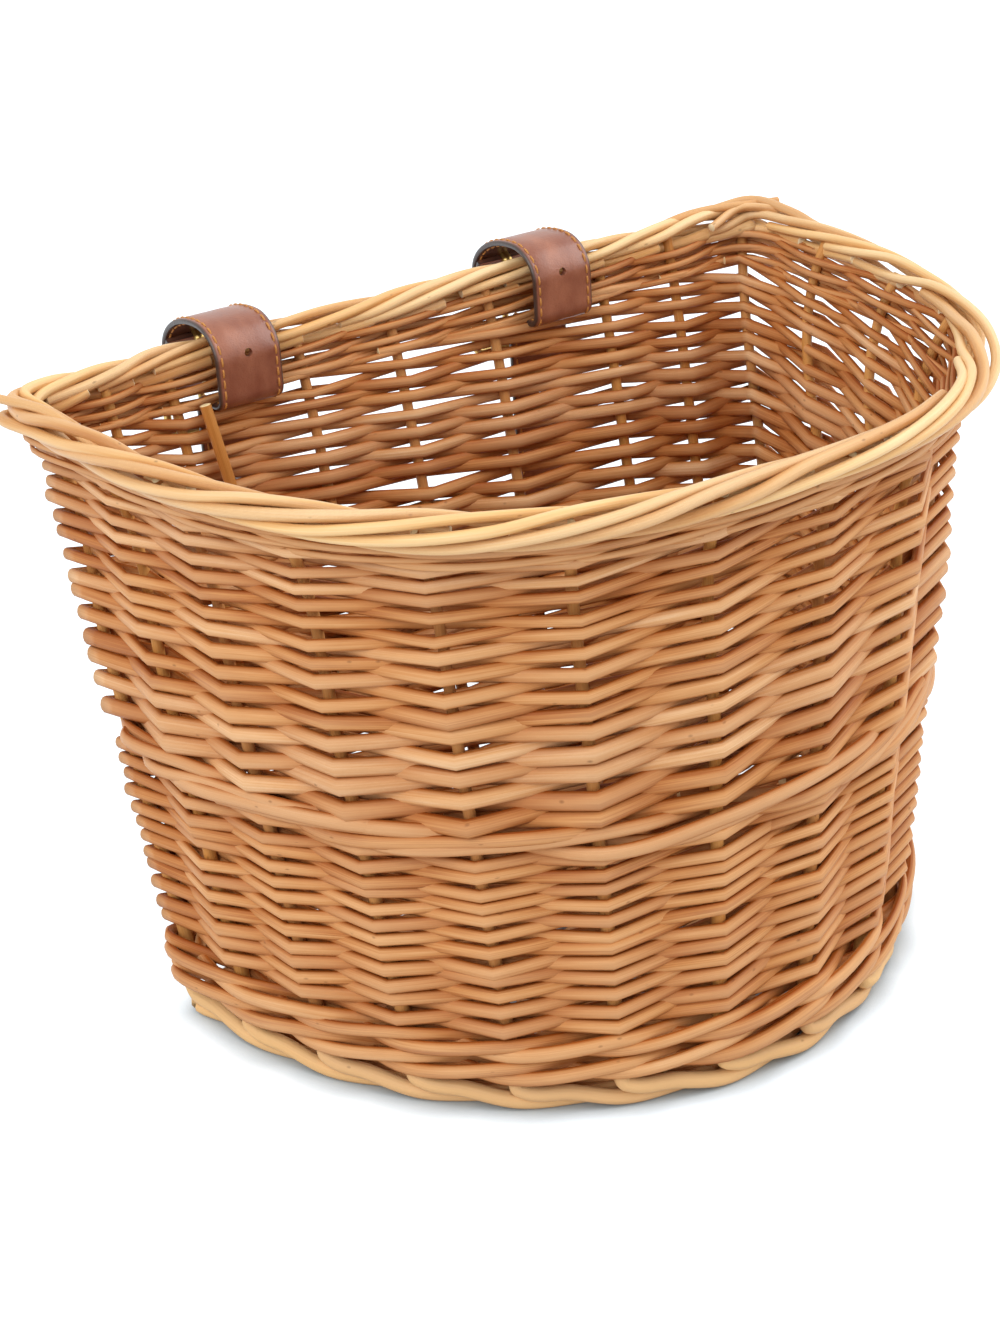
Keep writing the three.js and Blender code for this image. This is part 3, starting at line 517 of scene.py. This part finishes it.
def back_stops(width):
    """Where the back wall's stakes stand: beside each strap, between the straps and towards each corner."""
    wall, half = RIM_WIDTH / 2 - WALL_INSET, STRAP_PASSAGE / 2
    left, right = STRAP_X["left"], STRAP_X["right"]
    stops = [(-wall + left - half) / 2, left - half, left + half, (left + right) / 2]
    stops += [right - half, right + half, (right + half + wall) / 2]
    return np.array(stops) / wall * width / 2


def d_shape(width, depth, power, y):
    """The places of all stakes round a D."""
    line, run = front_line(width, depth, power, y)
    front = np.stack([np.interp(np.arange(FRONT_SPANS + 1), run, line[:, i]) for i in (0, 1)], -1)
    return np.vstack([front, [(x, y) for x in back_stops(width)]])


TOP = d_shape(RIM_WIDTH - 2 * WALL_INSET, RIM_DEPTH - WALL_SETBACK - WALL_INSET, RIM_POWER, -WALL_SETBACK)
GROUND = d_shape(BASE_WIDTH, BASE_DEPTH, BASE_POWER, -BASE_SETBACK)
STAKES = len(TOP)


def outward_normals(places):
    """Directions out of the wall at each stake, longer where the wall turns."""
    into = unit(places - np.roll(places, 1, 0))
    out = unit(np.roll(places, -1, 0) - places)
    along = unit(into + out)
    reach = 1 / np.maximum((along * out).sum(1), MITRE_LIMIT)
    return np.stack([-along[:, 1], along[:, 0]], -1) * reach[:, None]


NORMALS = outward_normals((TOP + GROUND) / 2)
FLARE = np.where(np.arange(STAKES) <= FRONT_SPANS, FRONT_FLARE, BACK_FLARE)


def wall_points(s, z, out):
    """Points on the wall: s counts stakes and may lie between two, z is the height, out is outwards."""
    s, z, out = np.broadcast_arrays(*(np.asarray(v, float) for v in (s, z, out)))
    j = np.floor(s).astype(int)
    f = (s - j)[:, None]
    level = (z / RIM_HEIGHT)[:, None]
    a, b = j % STAKES, (j + 1) % STAKES
    here = GROUND[a] + (TOP[a] - GROUND[a]) * level
    there = GROUND[b] + (TOP[b] - GROUND[b]) * level
    normal = NORMALS[a] * (1 - f) + NORMALS[b] * f
    flare = FLARE[a] * (1 - f[:, 0]) + FLARE[b] * f[:, 0]
    out = out + flare * np.clip((z - FLARE_START) / FLARE_RISE, 0, 1) ** FLARE_POWER
    flat = here * (1 - f) + there * f + normal * out[:, None]
    return np.column_stack([flat, z])


class Rim:
    """The border's middle line, counted in stakes, with its mitred outward direction."""
    STEPS = 40
    SOFTEN = 5.0

    def __init__(self):
        line, run = front_line(RIM_WIDTH, RIM_DEPTH, RIM_POWER, 0)
        self.s = np.arange(STAKES * self.STEPS) / self.STEPS
        back = np.concatenate([[-RIM_WIDTH / 2], back_stops(RIM_WIDTH), [RIM_WIDTH / 2]])
        x = np.where(self.s <= FRONT_SPANS, np.interp(self.s, run, line[:, 0]),
                     np.interp(self.s, np.arange(FRONT_SPANS, STAKES + 1), back))
        y = np.where(self.s <= FRONT_SPANS, np.interp(self.s, run, line[:, 1]), 0)
        self.place = np.stack([x, y], -1)
        step = np.roll(self.place, -1, 0) - self.place
        length = np.linalg.norm(step, axis=1)
        normal = np.stack([-step[:, 1], step[:, 0]], -1) / length[:, None]
        run = np.cumsum(length)
        gap = np.abs(run[:, None] - run[None, :])
        gap = np.minimum(gap, run[-1] - gap)
        weight = np.exp(-0.5 * (gap / self.SOFTEN) ** 2) * length[None, :]
        mean = weight @ normal / weight.sum(1, keepdims=True)
        self.normal = mean / (mean**2).sum(1, keepdims=True)

    def at(self, s, angle, reach, inset):
        """Points round a line inset from the middle line: angle 0 is outwards and a quarter turn is up."""
        s = np.asarray(s, float) % STAKES
        grid = np.append(self.s, STAKES)
        place, normal = ([np.interp(s, grid, np.append(v[:, i], v[0, i])) for i in (0, 1)]
                         for v in (self.place, self.normal))
        out = reach * np.cos(angle) - inset
        return np.column_stack([place[0] + normal[0] * out, place[1] + normal[1] * out,
                                RIM_HEIGHT + reach * np.sin(angle)])


RIM = Rim()


# Stakes, with the foot that their lower ends make

def stakes():
    rods = Rods()
    passed, leaning, height, dropping, out, flaring = np.array(STAKE_KNOTS).T
    for j in range(STAKES):
        butt = STAKE_BUTT / 2 * rng.uniform(*STAKE_SPREAD)
        lean = rng.normal(0, STAKE_LEAN)
        drop = rng.normal(0, FOOT_DROP)
        knots = wall_points(j - passed + lean * leaning, height + drop * dropping, out + FLARE[j] * flaring)
        path = spline(knots, STAKE_STEPS)
        share = np.clip((path[:, 2] - TAPER_LOW) / (TAPER_HIGH - TAPER_LOW), 0, 1)
        radius = butt + (STAKE_TIP / 2 - butt) * share**TAPER_POWER
        radius[-FOOT_END_STEPS:] *= np.linspace(1, FOOT_END, FOOT_END_STEPS)
        shade_to_pale = np.interp(path[:, 2], [PALE_LOW, PALE_HIGH], [FOOT_SHADE_TO_PALE, PLAIN_SHADE_TO_PALE])
        rods.add(path, radius, up=(*NORMALS[j], 0), tint=rng.uniform(*STAKE_TINTS), shade_to_pale=shade_to_pale)
    rods.add(LOOSE_ROD, LOOSE_ROD_RADII, up=(0, 1, 0), tint=LOOSE_ROD_TINT)
    rods.make("stakes", STAKE, [f"stake_{i + 1:02d}" for i in range(STAKES)], "willow_stake")


# Bands of French randing: one tapered rod from each stake, in front of one and behind the next

def band(name, bottom, top, levels, ease, butt, tip, palest, node):
    """Ease is how much faster the rods climb at first, and palest is the highest tint that one may have."""
    rods = Rods()
    t = np.arange(-BAND_END, levels + BAND_END + 0.5 / STEPS_PER_SPAN, 1 / STEPS_PER_SPAN)
    share = np.clip(t / levels, 0, 1)
    climb = share * (1 + ease) - ease * share**2
    pull = -np.cos(np.pi * t)
    side = KINK * 2 / np.pi * np.arcsin(np.clip(pull, -1, 1)) + (1 - KINK) * pull
    side = np.where(t < 0, -1 + t, side)
    low, high = bottom + butt / 2, top - tip / 2
    for start in range(STAKES):
        radius = (butt + (tip - butt) * share) / 2 * rng.uniform(*BAND_SPREAD)
        z = low + (high - low) * climb + wander(t, BAND_WANDER) + rng.normal(0, BAND_LIFT)
        out = side * (STAKE_REACH + BAND_LAP * radius) + wander(t, BAND_STRAY)
        path, *core = (wall_points(start - t, z, v) for v in (out, 0, 1))
        rods.add(path, radius, FINE_SIDES, tint=palest * rng.random(), core=core,
                 full=STAKE_REACH + (1 + BAND_LAP) * radius, pressed=PRESSED)
    rods.make(name, WEAVE, [node], "willow_weave")


# Wales: ropes of rods that pass before several stakes and behind one

def wale(name, middle, rows, rise, count, size, palest):
    """Rows of ropes with a count of rods each; rise is how far apart two rods of a rope lie in height."""
    rods = Rods()
    k = np.arange(-1, STAKES + 2)
    for row in range(rows):
        for rod in range(count):
            phase = (k + rod) % count
            z = middle + (row - (rows - 1) / 2) * rise * (count - 1)
            z = z + np.where(phase == 0, 0, (phase - count / 2) * rise) + rng.normal(0, WALE_WANDER, len(k))
            radius = size / 2 * rng.uniform(*WALE_SPREAD)
            out = np.where(phase == 0, -1, 1) * (STAKE_REACH + radius) + rng.normal(0, WALE_STRAY, len(k))
            path, *core = (spline(wall_points(rod * STAKES / count - k, z, v), STEPS_PER_SPAN)
                           for v in (out, 0, 1))
            rods.add(path, radius * np.linspace(*WALE_TAPER, len(path)), FINE_SIDES,
                     tint=palest * rng.random(), core=core, full=STAKE_REACH + 2 * radius, pressed=PRESSED)
    rods.make(name, WEAVE, [f"{name}_{i}" for i in (1, 2, 3)], "willow_weave")


# Top border: each rod starts inside under the rim, comes up outside, rolls over the others and ends inside

def border():
    rods = Rods()
    turn = 2 * np.pi / BORDER_TURN_SPANS
    for j in range(BORDER_RODS):
        opened = j in OPEN_ENDS
        radius = BORDER_ROD / 2 * rng.uniform(*BORDER_SPREAD)
        spans = OPEN_SPANS if opened else rng.uniform(*BORDER_SPANS)
        later = np.arange(1, spans - LAST_KNOT_ROOM, BORDER_KNOT_SPANS)
        s = np.concatenate([BORDER_FIRST_SPANS, later, [spans]])
        angle = BORDER_FIRST_TURN + turn * s + wander(s, TURN_WANDER)
        reach = BORDER_REACH - radius + wander(s, REACH_WANDER)
        ends = [0, BORDER_FIRST_SPANS[-1], spans - TUCK_SPANS, spans]
        reach += np.interp(s, ends, [BORDER_SUNK, 0, 0, OPEN_TUCK if opened else BORDER_TUCK])
        place = j * STAKES / BORDER_RODS - s
        inset = DRAWN_IN * np.exp(-((place - DRAWN_IN_AT) / DRAWN_IN_SPANS) ** 2) * (j != LOOSE_BORDER_ROD)
        lines = [spline(RIM.at(place, angle, v, inset), BORDER_STEPS) for v in (reach, 0 * s, 0 * s + 1)]
        step = np.linalg.norm(np.diff(lines[0], axis=0), axis=1)
        kept = np.concatenate([[True], step > SHORTEST_STEP])
        path, *core = (line[kept] for line in lines)
        rods.add(path, radius * np.linspace(*BORDER_TAPER, len(path)), FINE_SIDES,
                 tint=rng.uniform(*BORDER_TINTS), core=core, full=BORDER_REACH)
    for knots in CORNER_TIPS:
        path = spline(knots, CORNER_TIP_STEPS)
        rods.add(path, np.linspace(*CORNER_TIP_RADII, len(path)), FINE_SIDES,
                 tint=rng.uniform(*CORNER_TIP_TINTS))
    rods.make("border", BORDER, [f"border_rod_{i}" for i in (1, 2, 3, 4)], "willow_border")


# Base: sticks from back to front, with rods woven across them

def base():
    sticks, weave = Rods(), Rods()
    nodes = [f"base_stick_{i + 1}" for i in range(BASE_STICKS)]
    stops = []
    for low, high in map(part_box, nodes):
        x = (low[0] + high[0]) / 2 * MILLIMETRES - PLACE[0]
        y = np.linspace(low[1] * MILLIMETRES - PLACE[1], high[1] * MILLIMETRES - PLACE[1], STICK_KNOTS)
        path = np.column_stack([x + rng.normal(0, STICK_STRAY, STICK_KNOTS), y, 0 * y + BASE_HEIGHT])
        sticks.add(spline(path, STICK_STEPS), BASE_STICK / 2 * rng.uniform(*STICK_SPREAD))
        stops.append(x)
    sticks.make("base_sticks", STAKE, nodes, "willow_stake")
    lift = (BASE_STICK + BASE_ROD) / 2 - BASE_ROD_LAP
    for row, y in enumerate(np.arange(BASE_BACK, BASE_FRONT, -BASE_ROW_PITCH)):
        deep = (-BASE_SETBACK - y) / (BASE_DEPTH - BASE_INSET)
        half = (BASE_WIDTH / 2 - BASE_INSET) * (1 - deep**BASE_POWER) ** (1 / BASE_POWER)
        knots = [(-half, y, BASE_HEIGHT)]
        for i, x in enumerate(stops):
            if abs(x) < half - ROW_END_ROOM:
                rise = lift if (i + row) % 2 else -lift
                knots.append((x, y + rng.normal(0, BASE_ROW_STRAY), BASE_HEIGHT + rise))
        knots.append((half, y, BASE_HEIGHT))
        path = spline(knots, BASE_ROD_STEPS)
        taper = np.linspace(*BASE_ROD_TAPER, len(path))
        weave.add(path, BASE_ROD / 2 * (taper if row % 2 else taper[::-1]))
    s = np.arange(0, STAKES, BASE_EDGE_SPANS)
    for out, z in BASE_EDGE:
        path = wall_points(s, z + rng.normal(0, BASE_EDGE_WANDER, len(s)), out)
        weave.add(path, BASE_ROD / 2, closed=True)
    weave.make("base_weave", WEAVE, ["base_weaver"], "willow_weave")


# Straps: a swept ribbon with rounded, painted edges

def arc(y, z, radius, start, end, count):
    t = np.linspace(start, end, count)
    return np.stack([y + radius * np.cos(t), z + radius * np.sin(t)], -1)


def back_arch(turn, inset):
    """Points of a strap's arch, from the top of its back leg to the crown, set in by an inset."""
    rise = ARCH_RISE - LEG_TOP
    outward = unit(np.stack([np.cos(turn) / BACK_REACH, np.sin(turn) / rise], -1))
    return np.stack([BACK_REACH * np.cos(turn), LEG_TOP + rise * np.sin(turn)], -1) - outward * inset


def strap_line():
    """A strap's middle line across the rim, as y and z, in even steps."""
    turn = np.linspace(np.pi / 2, np.pi, FRONT_POINTS)[1:, None]
    front = np.hstack([FRONT_REACH * np.cos(turn), ARCH_RISE * np.sin(turn)])
    line = np.vstack([
        back_arch(np.linspace(FLAP_TURN, 0, FLAP_POINTS), LAYER_STEP),
        arc(HEEL_Y, HEEL_Z, FOLD_RADIUS, np.pi, 2 * np.pi, FOLD_POINTS),
        back_arch(np.linspace(0, np.pi / 2, BACK_POINTS), 0),
        front,
        arc(BEND_RADIUS - FRONT_REACH, SLOT_DROP + BEND_RADIUS, BEND_RADIUS, np.pi, 1.5 * np.pi, BEND_POINTS),
        arc(STRAP_HANG - HANG_RADIUS, SLOT_DROP - HANG_RADIUS, HANG_RADIUS, np.pi / 2, 0, BEND_POINTS),
        [[STRAP_HANG, SLOT_DROP - TAIL_LENGTH]],
    ])
    run = distances(line)
    even = np.linspace(0, run[-1], int(run[-1] / STRAP_STEP))
    return along_line(line, run, even), even


def along_line(values, run, at):
    """Values of a line in the plane across the rim, read at distances along it."""
    return np.stack([np.interp(at, run, values[:, i]) for i in (0, 1)], -1)


def across(line):
    """Directions square to a line in the plane across the rim: on the arch they point outwards."""
    step = unit(np.gradient(line, axis=0))
    return np.stack([step[:, 1], -step[:, 0]], -1)


def ribbon(x, line, run, half):
    """Points, faces, grain and fields of a strap's band, swept along a line."""
    normal = across(line)
    width, height, edge = np.array(STRAP_PROFILE + [(-w, h, e) for w, h, e in STRAP_PROFILE[::-1]]).T
    width = np.concatenate([width, width[::-1]])
    height = np.concatenate([height, -height[::-1]])
    edge = np.concatenate([edge, edge[::-1]])
    # The underside is the flesh side, darkened partly as painted shade
    flesh_and_shade = height < 0
    n, m = len(line), len(width)
    px = x + half[:, None] * width[None, :]
    pyz = line[:, None] + normal[:, None] * height[None, :, None]
    points = np.dstack([px, pyz[..., 0], pyz[..., 1] + RIM_HEIGHT]).reshape(-1, 3)
    faces, uvs = [], []
    for i in range(n - 1):
        u = run[i], run[i + 1]
        for k in range(m):
            o = (k + 1) % m
            faces.append((i * m + k, (i + 1) * m + k, (i + 1) * m + o, i * m + o))
            v = px[i, k], px[i, o]
            uvs += [(u[0], v[0]), (u[1], v[0]), (u[1], v[1]), (u[0], v[1])]
    for i, order in ((0, range(m)), (n - 1, range(m - 1, -1, -1))):
        faces.append(tuple(i * m + k for k in order))
        uvs += [(run[i], px[i, k]) for k in order]
    return points, faces, uvs, {"edge": np.tile(edge, n), "flesh_and_shade": np.tile(flesh_and_shade, n)}


def cutter(x, y, z, width, height, depth):
    """A round or oval prism along Y to cut a hole with, at a height from the rim."""
    turn = (np.arange(HOLE_SIDES) + 0.5) * 2 * np.pi / HOLE_SIDES
    ring = np.column_stack([width / 2 * np.cos(turn), 0 * turn, -height / 2 * np.sin(turn)])
    points = np.vstack([ring - (0, depth, 0), ring + (0, depth, 0)]) + (x, y, RIM_HEIGHT + z)
    n = HOLE_SIDES
    faces = [tuple(range(n - 1, -1, -1)), tuple(range(n, 2 * n))]
    faces += [(k, (k + 1) % n, n + (k + 1) % n, n + k) for k in range(n)]
    mesh = mesh_of("cutter", points, faces, fields={"edge": np.ones(2 * n), "flesh_and_shade": np.zeros(2 * n)})
    mesh.uv_layers.new(name="grain")
    return linked("cutter", mesh)


def carved(piece, cutters):
    """The mesh of a piece with its holes cut, and nothing left of the cutters."""
    for tool in cutters:
        hole = piece.modifiers.new("hole", "BOOLEAN")
        hole.operation, hole.solver, hole.object = "DIFFERENCE", "EXACT", tool
    view = bpy.context.evaluated_depsgraph_get()
    mesh = bpy.data.meshes.new_from_object(piece.evaluated_get(view))
    mesh.set_sharp_from_angle(angle=SHARP_ANGLE)
    for item in [piece, *cutters]:
        bpy.data.objects.remove(item)
    return mesh


def strap(side, x):
    line, run = strap_line()
    left = run[-1] - run
    half = np.clip(1 - (1 - np.minimum(left / STRAP_TIP, 1)) ** 2, TIP_BLUNT, 1) ** TIP_ROUND
    blank = linked("blank", mesh_of("blank", *ribbon(x, line, run, STRAP_WIDTH / 2 * half)))
    cutters = [cutter(x, -FRONT_REACH, INSIDE_HOLE_LIFT, HOLE, HOLE, HOLE_REACH)]
    for i in range(TAIL_HOLES):
        z = SLOT_DROP - TAIL_LENGTH + FIRST_TAIL_HOLE + i * TAIL_HOLE_SPACING
        cutters.append(cutter(x, STRAP_HANG, z, HOLE, HOLE, HOLE_REACH))
    low = HEEL_Z - FOLD_RADIUS - STRAP_THICKNESS
    high = HEEL_Z + PRONG_SLOT_LENGTH
    cutters.append(cutter(x, HEEL_Y, (low + high) / 2, PRONG_SLOT_WIDTH, high - low,
                          PRONG_SLOT_FOLDS * FOLD_RADIUS))
    dress(f"strap_{side}_leather", carved(blank, cutters), LEATHER, [f"strap_{side}"])
    stitches(side, x, line, run)


def stitches(side, x, line, run):
    rods = Rods()
    normal = across(line)
    shape = np.linspace(0, 1, STITCH_POINTS)
    proud = STRAP_THICKNESS / 2 - STITCH_SUNK + THREAD_RADIUS * np.sin(np.pi * shape) ** 0.5
    for row in (-1, 1):
        offset = row * (STRAP_WIDTH / 2 - STITCH_INSET)
        for start in np.arange(FIRST_STITCH, run[-1] - STRAP_TIP, STITCH_PITCH):
            at = start + STITCH_LENGTH * shape
            middle, up = along_line(line, run, at), along_line(normal, run, at)
            for face in (1, -1):
                yz = middle + up * face * proud[:, None]
                path = np.column_stack([0 * at + x + offset, yz[:, 0], yz[:, 1] + RIM_HEIGHT])
                rods.add(path, THREAD_RADIUS, THREAD_SIDES, up=(1, 0, 0), tint=0.5, cut=0)
    rods.make(f"strap_{side}_stitches", THREAD, [], "leather")


# Metal of the straps

def lathe(centre, profile, direction, sides):
    """Points, faces and grain of a turned piece: profile is radius and distance from its centre."""
    d = np.array([0, *direction])
    e = np.cross(d, (1, 0, 0))
    turn = np.arange(sides) * 2 * np.pi / sides
    ring = np.array([1, 0, 0]) * np.cos(turn)[:, None] + e * np.sin(turn)[:, None]
    points = np.vstack([np.asarray(centre) + d * at + ring * r for r, at in profile])
    faces, uvs = [], []
    for i in range(len(profile) - 1):
        for k in range(sides):
            o = (k + 1) % sides
            faces.append((i * sides + k, i * sides + o, (i + 1) * sides + o, (i + 1) * sides + k))
            v = RIVET_GRAIN * i, RIVET_GRAIN * (i + 1)
            uvs += [(k, v[0]), (k + 1, v[0]), (k + 1, v[1]), (k, v[1])]
    return points, faces, uvs


def rivet(side, x):
    y, z = back_arch(np.array([RIVET_TURN]), 0)[0]
    direction = (back_arch(np.array([RIVET_TURN]), -1) - (y, z))[0]
    outer = STRAP_THICKNESS / 2 + RIVET_PROUD
    inner = -LAYER_STEP - outer
    head = RIVET_HEAD / 2
    profile = [(head * r, inner - RIVET_BACK * h) for r, h in RIVET_DOME]
    profile += [(head * r, outer + h) for r, h in RIVET_DOME[::-1]]
    points, faces, uvs = lathe((x, y, RIM_HEIGHT + z), profile, direction, RIVET_SIDES)
    dress(f"rivet_{side}_brass", mesh_of("rivet", points, faces, uvs), BRASS, [f"rivet_{side}"])


def buckle_frame(side, heel):
    rods = Rods()
    corner = BUCKLE_CORNER
    wide, low = BUCKLE_HALF_WIDTH - corner, -BUCKLE_HEIGHT + corner
    turns = [(wide, -corner, np.pi / 2), (wide, low, 0), (-wide, low, -np.pi / 2), (-wide, -corner, -np.pi)]
    outline = np.vstack([arc(cx, cz, corner, a, a - np.pi / 2, CORNER_POINTS) for cx, cz, a in turns])
    corners = heel + np.column_stack([outline[:, 0], 0 * outline[:, 0], outline[:, 1]])
    path = []
    for a, b in zip(corners, np.roll(corners, -1, 0)):
        steps = max(1, int(np.linalg.norm(b - a) / BUCKLE_STEP))
        path.append(a + (b - a) * np.linspace(0, 1, steps, endpoint=False)[:, None])
    rods.add(np.vstack(path), BUCKLE_WIRE / 2, WIRE_SIDES, up=(0, 1, 0), closed=True)
    rods.make(f"buckle_frame_{side}_brass", BRASS, [f"buckle_frame_{side}"], "brass", f"frame_{side}")


def buckle_prong(side, heel):
    rods = Rods()
    lean = np.arcsin((BUCKLE_WIRE + PRONG_WIDTH + PRONG_ROOM) / 2 / BUCKLE_HEIGHT)
    tongue = np.array([0, np.sin(lean), -np.cos(lean)])
    length = BUCKLE_HEIGHT + PRONG_OVERHANG
    rounded, shares = np.array(PRONG_ROUNDING).T
    at = np.concatenate([np.linspace(PRONG_EYE, length - PRONG_ROOM, PRONG_POINTS), length + rounded])
    radius = np.interp(at, [PRONG_EYE, length], [PRONG_WIDTH / 2, PRONG_TIP / 2])
    radius[-len(shares):] *= shares
    rods.add(heel + tongue * at[:, None], radius, FINE_SIDES, up=(1, 0, 0), cut=0)
    turn = np.linspace(0, 2 * np.pi, EYE_STEPS, endpoint=False)
    ring = heel + np.column_stack([0 * turn, PRONG_EYE * np.cos(turn), PRONG_EYE * np.sin(turn)])
    for offset in EYE_RINGS:
        rods.add(ring + (offset, 0, 0), EYE_WIRE, up=(1, 0, 0), closed=True)
    rods.make(f"buckle_prong_{side}_brass", BRASS, [f"buckle_prong_{side}"], "brass", f"prong_{side}")


# The whole basket

stakes()
band("lower_weave", bottom=33, top=117, levels=24, ease=0.08, butt=5.2, tip=4.4, palest=0.5,
     node="lower_weaver")
band("upper_weave", bottom=121, top=235, levels=28, ease=0.22, butt=6.6, tip=3.4, palest=1,
     node="upper_weaver")
wale("upsett_wale", middle=24.5, rows=2, rise=5.0, count=3, size=5.2, palest=0.55)
wale("middle_wale", middle=119.5, rows=1, rise=4.2, count=4, size=5.4, palest=0.8)
wale("top_wale", middle=237.8, rows=3, rise=2.4, count=3, size=2.7, palest=0.6)
border()
base()
for strap_side, strap_x in STRAP_X.items():
    strap(strap_side, strap_x)
    rivet(strap_side, strap_x)
    heel_place = np.array([strap_x, HEEL_Y, RIM_HEIGHT + HEEL_Z])
    buckle_frame(strap_side, heel_place)
    buckle_prong(strap_side, heel_place)


# Stage: floor, light and camera

def placed(place, right, back):
    """The matrix of a lamp or camera, from its place and two of its directions."""
    matrix = np.eye(4)
    matrix[:3] = np.column_stack([right, np.cross(back, right), back, place])
    return Matrix(matrix.tolist())


def background_share(g):
    """One for rays that see the background itself, by eye or in a reflection, and nothing for its light."""
    path = g.node("LightPath").outputs
    share = g.math("MAXIMUM", path["Is Camera Ray"], path["Is Glossy Ray"])
    return g.math("MAXIMUM", share, path["Is Transmission Ray"])


def floor():
    """A pale floor that glows white to the eye, with a painted contact shadow: the glow fades where the
    basket stands close over it.
    """
    bpy.ops.mesh.primitive_plane_add(size=FLOOR_SIZE)
    plane = bpy.context.object
    plane.name = "floor"
    g = Graph(bpy.data.materials.new("floor"))
    seen = background_share(g)
    # Painted contact shadow: the glow fades where ambient occlusion finds the basket close by
    contact_shadow = g.node("AmbientOcclusion", {"Distance": CONTACT_REACH}, samples=CONTACT_SAMPLES)
    glow = g.ramp(contact_shadow.outputs["AO"], [(0.3, 0.0), (0.9, FLOOR_GLOW)])
    g.shade(Base_Color=g.mix(seen, FLOOR_LIGHT, FLOOR_SEEN), Emission_Color=WHITE,
            Emission_Strength=g.math("MULTIPLY", seen, glow), Roughness=0.9, Specular_IOR_Level=0.1)
    plane.data.materials.append(g.owner)


def sky():
    """Even light from all round, in front of a white background."""
    g = Graph(bpy.data.worlds.new("studio"))
    dome = g.tree.nodes["Background"].inputs
    dome["Color"].default_value = WHITE
    g.feed(dome["Strength"], g.math("MULTIPLY_ADD", background_share(g), 1 - SKY_LIGHT, SKY_LIGHT))
    bpy.context.scene.world = g.owner


def sun(name, toward, strength):
    light = bpy.data.lights.new(name, "SUN")
    light.energy = strength
    light.angle = np.radians(SUN_ANGLE)
    back = unit(np.asarray(toward, float))
    right = unit(np.cross(LAMP_TOP, back))
    linked(name, light).matrix_world = placed(np.zeros(3), right, back)


def camera():
    a, e, r = np.radians([AZIMUTH, ELEVATION, ROLL])
    back = np.array([np.sin(a) * np.cos(e), -np.cos(a) * np.cos(e), np.sin(e)])
    level = np.array([np.cos(a), np.sin(a), 0])
    right = np.cos(r) * level + np.sin(r) * np.cross(back, level)
    up = np.cross(back, right)
    eye = TARGET + DISTANCE * back
    off = IMAGE / 2 - PRINCIPAL
    ahead = unit(-back * FOCAL + right * off[0] - up * off[1])
    lens = bpy.data.cameras.new("camera")
    lens.sensor_width = SENSOR
    lens.lens = FOCAL / IMAGE.max() * SENSOR
    shot = linked("camera", lens)
    shot.matrix_world = placed((eye + PLACE) / MILLIMETRES, unit(np.cross(ahead, up)), -ahead)
    bpy.context.scene.camera = shot


floor()
sky()
for sun_name, (sun_toward, sun_strength) in SUNS.items():
    sun(sun_name, sun_toward, sun_strength)
bpy.context.scene.view_settings.view_transform = "Standard"
camera()
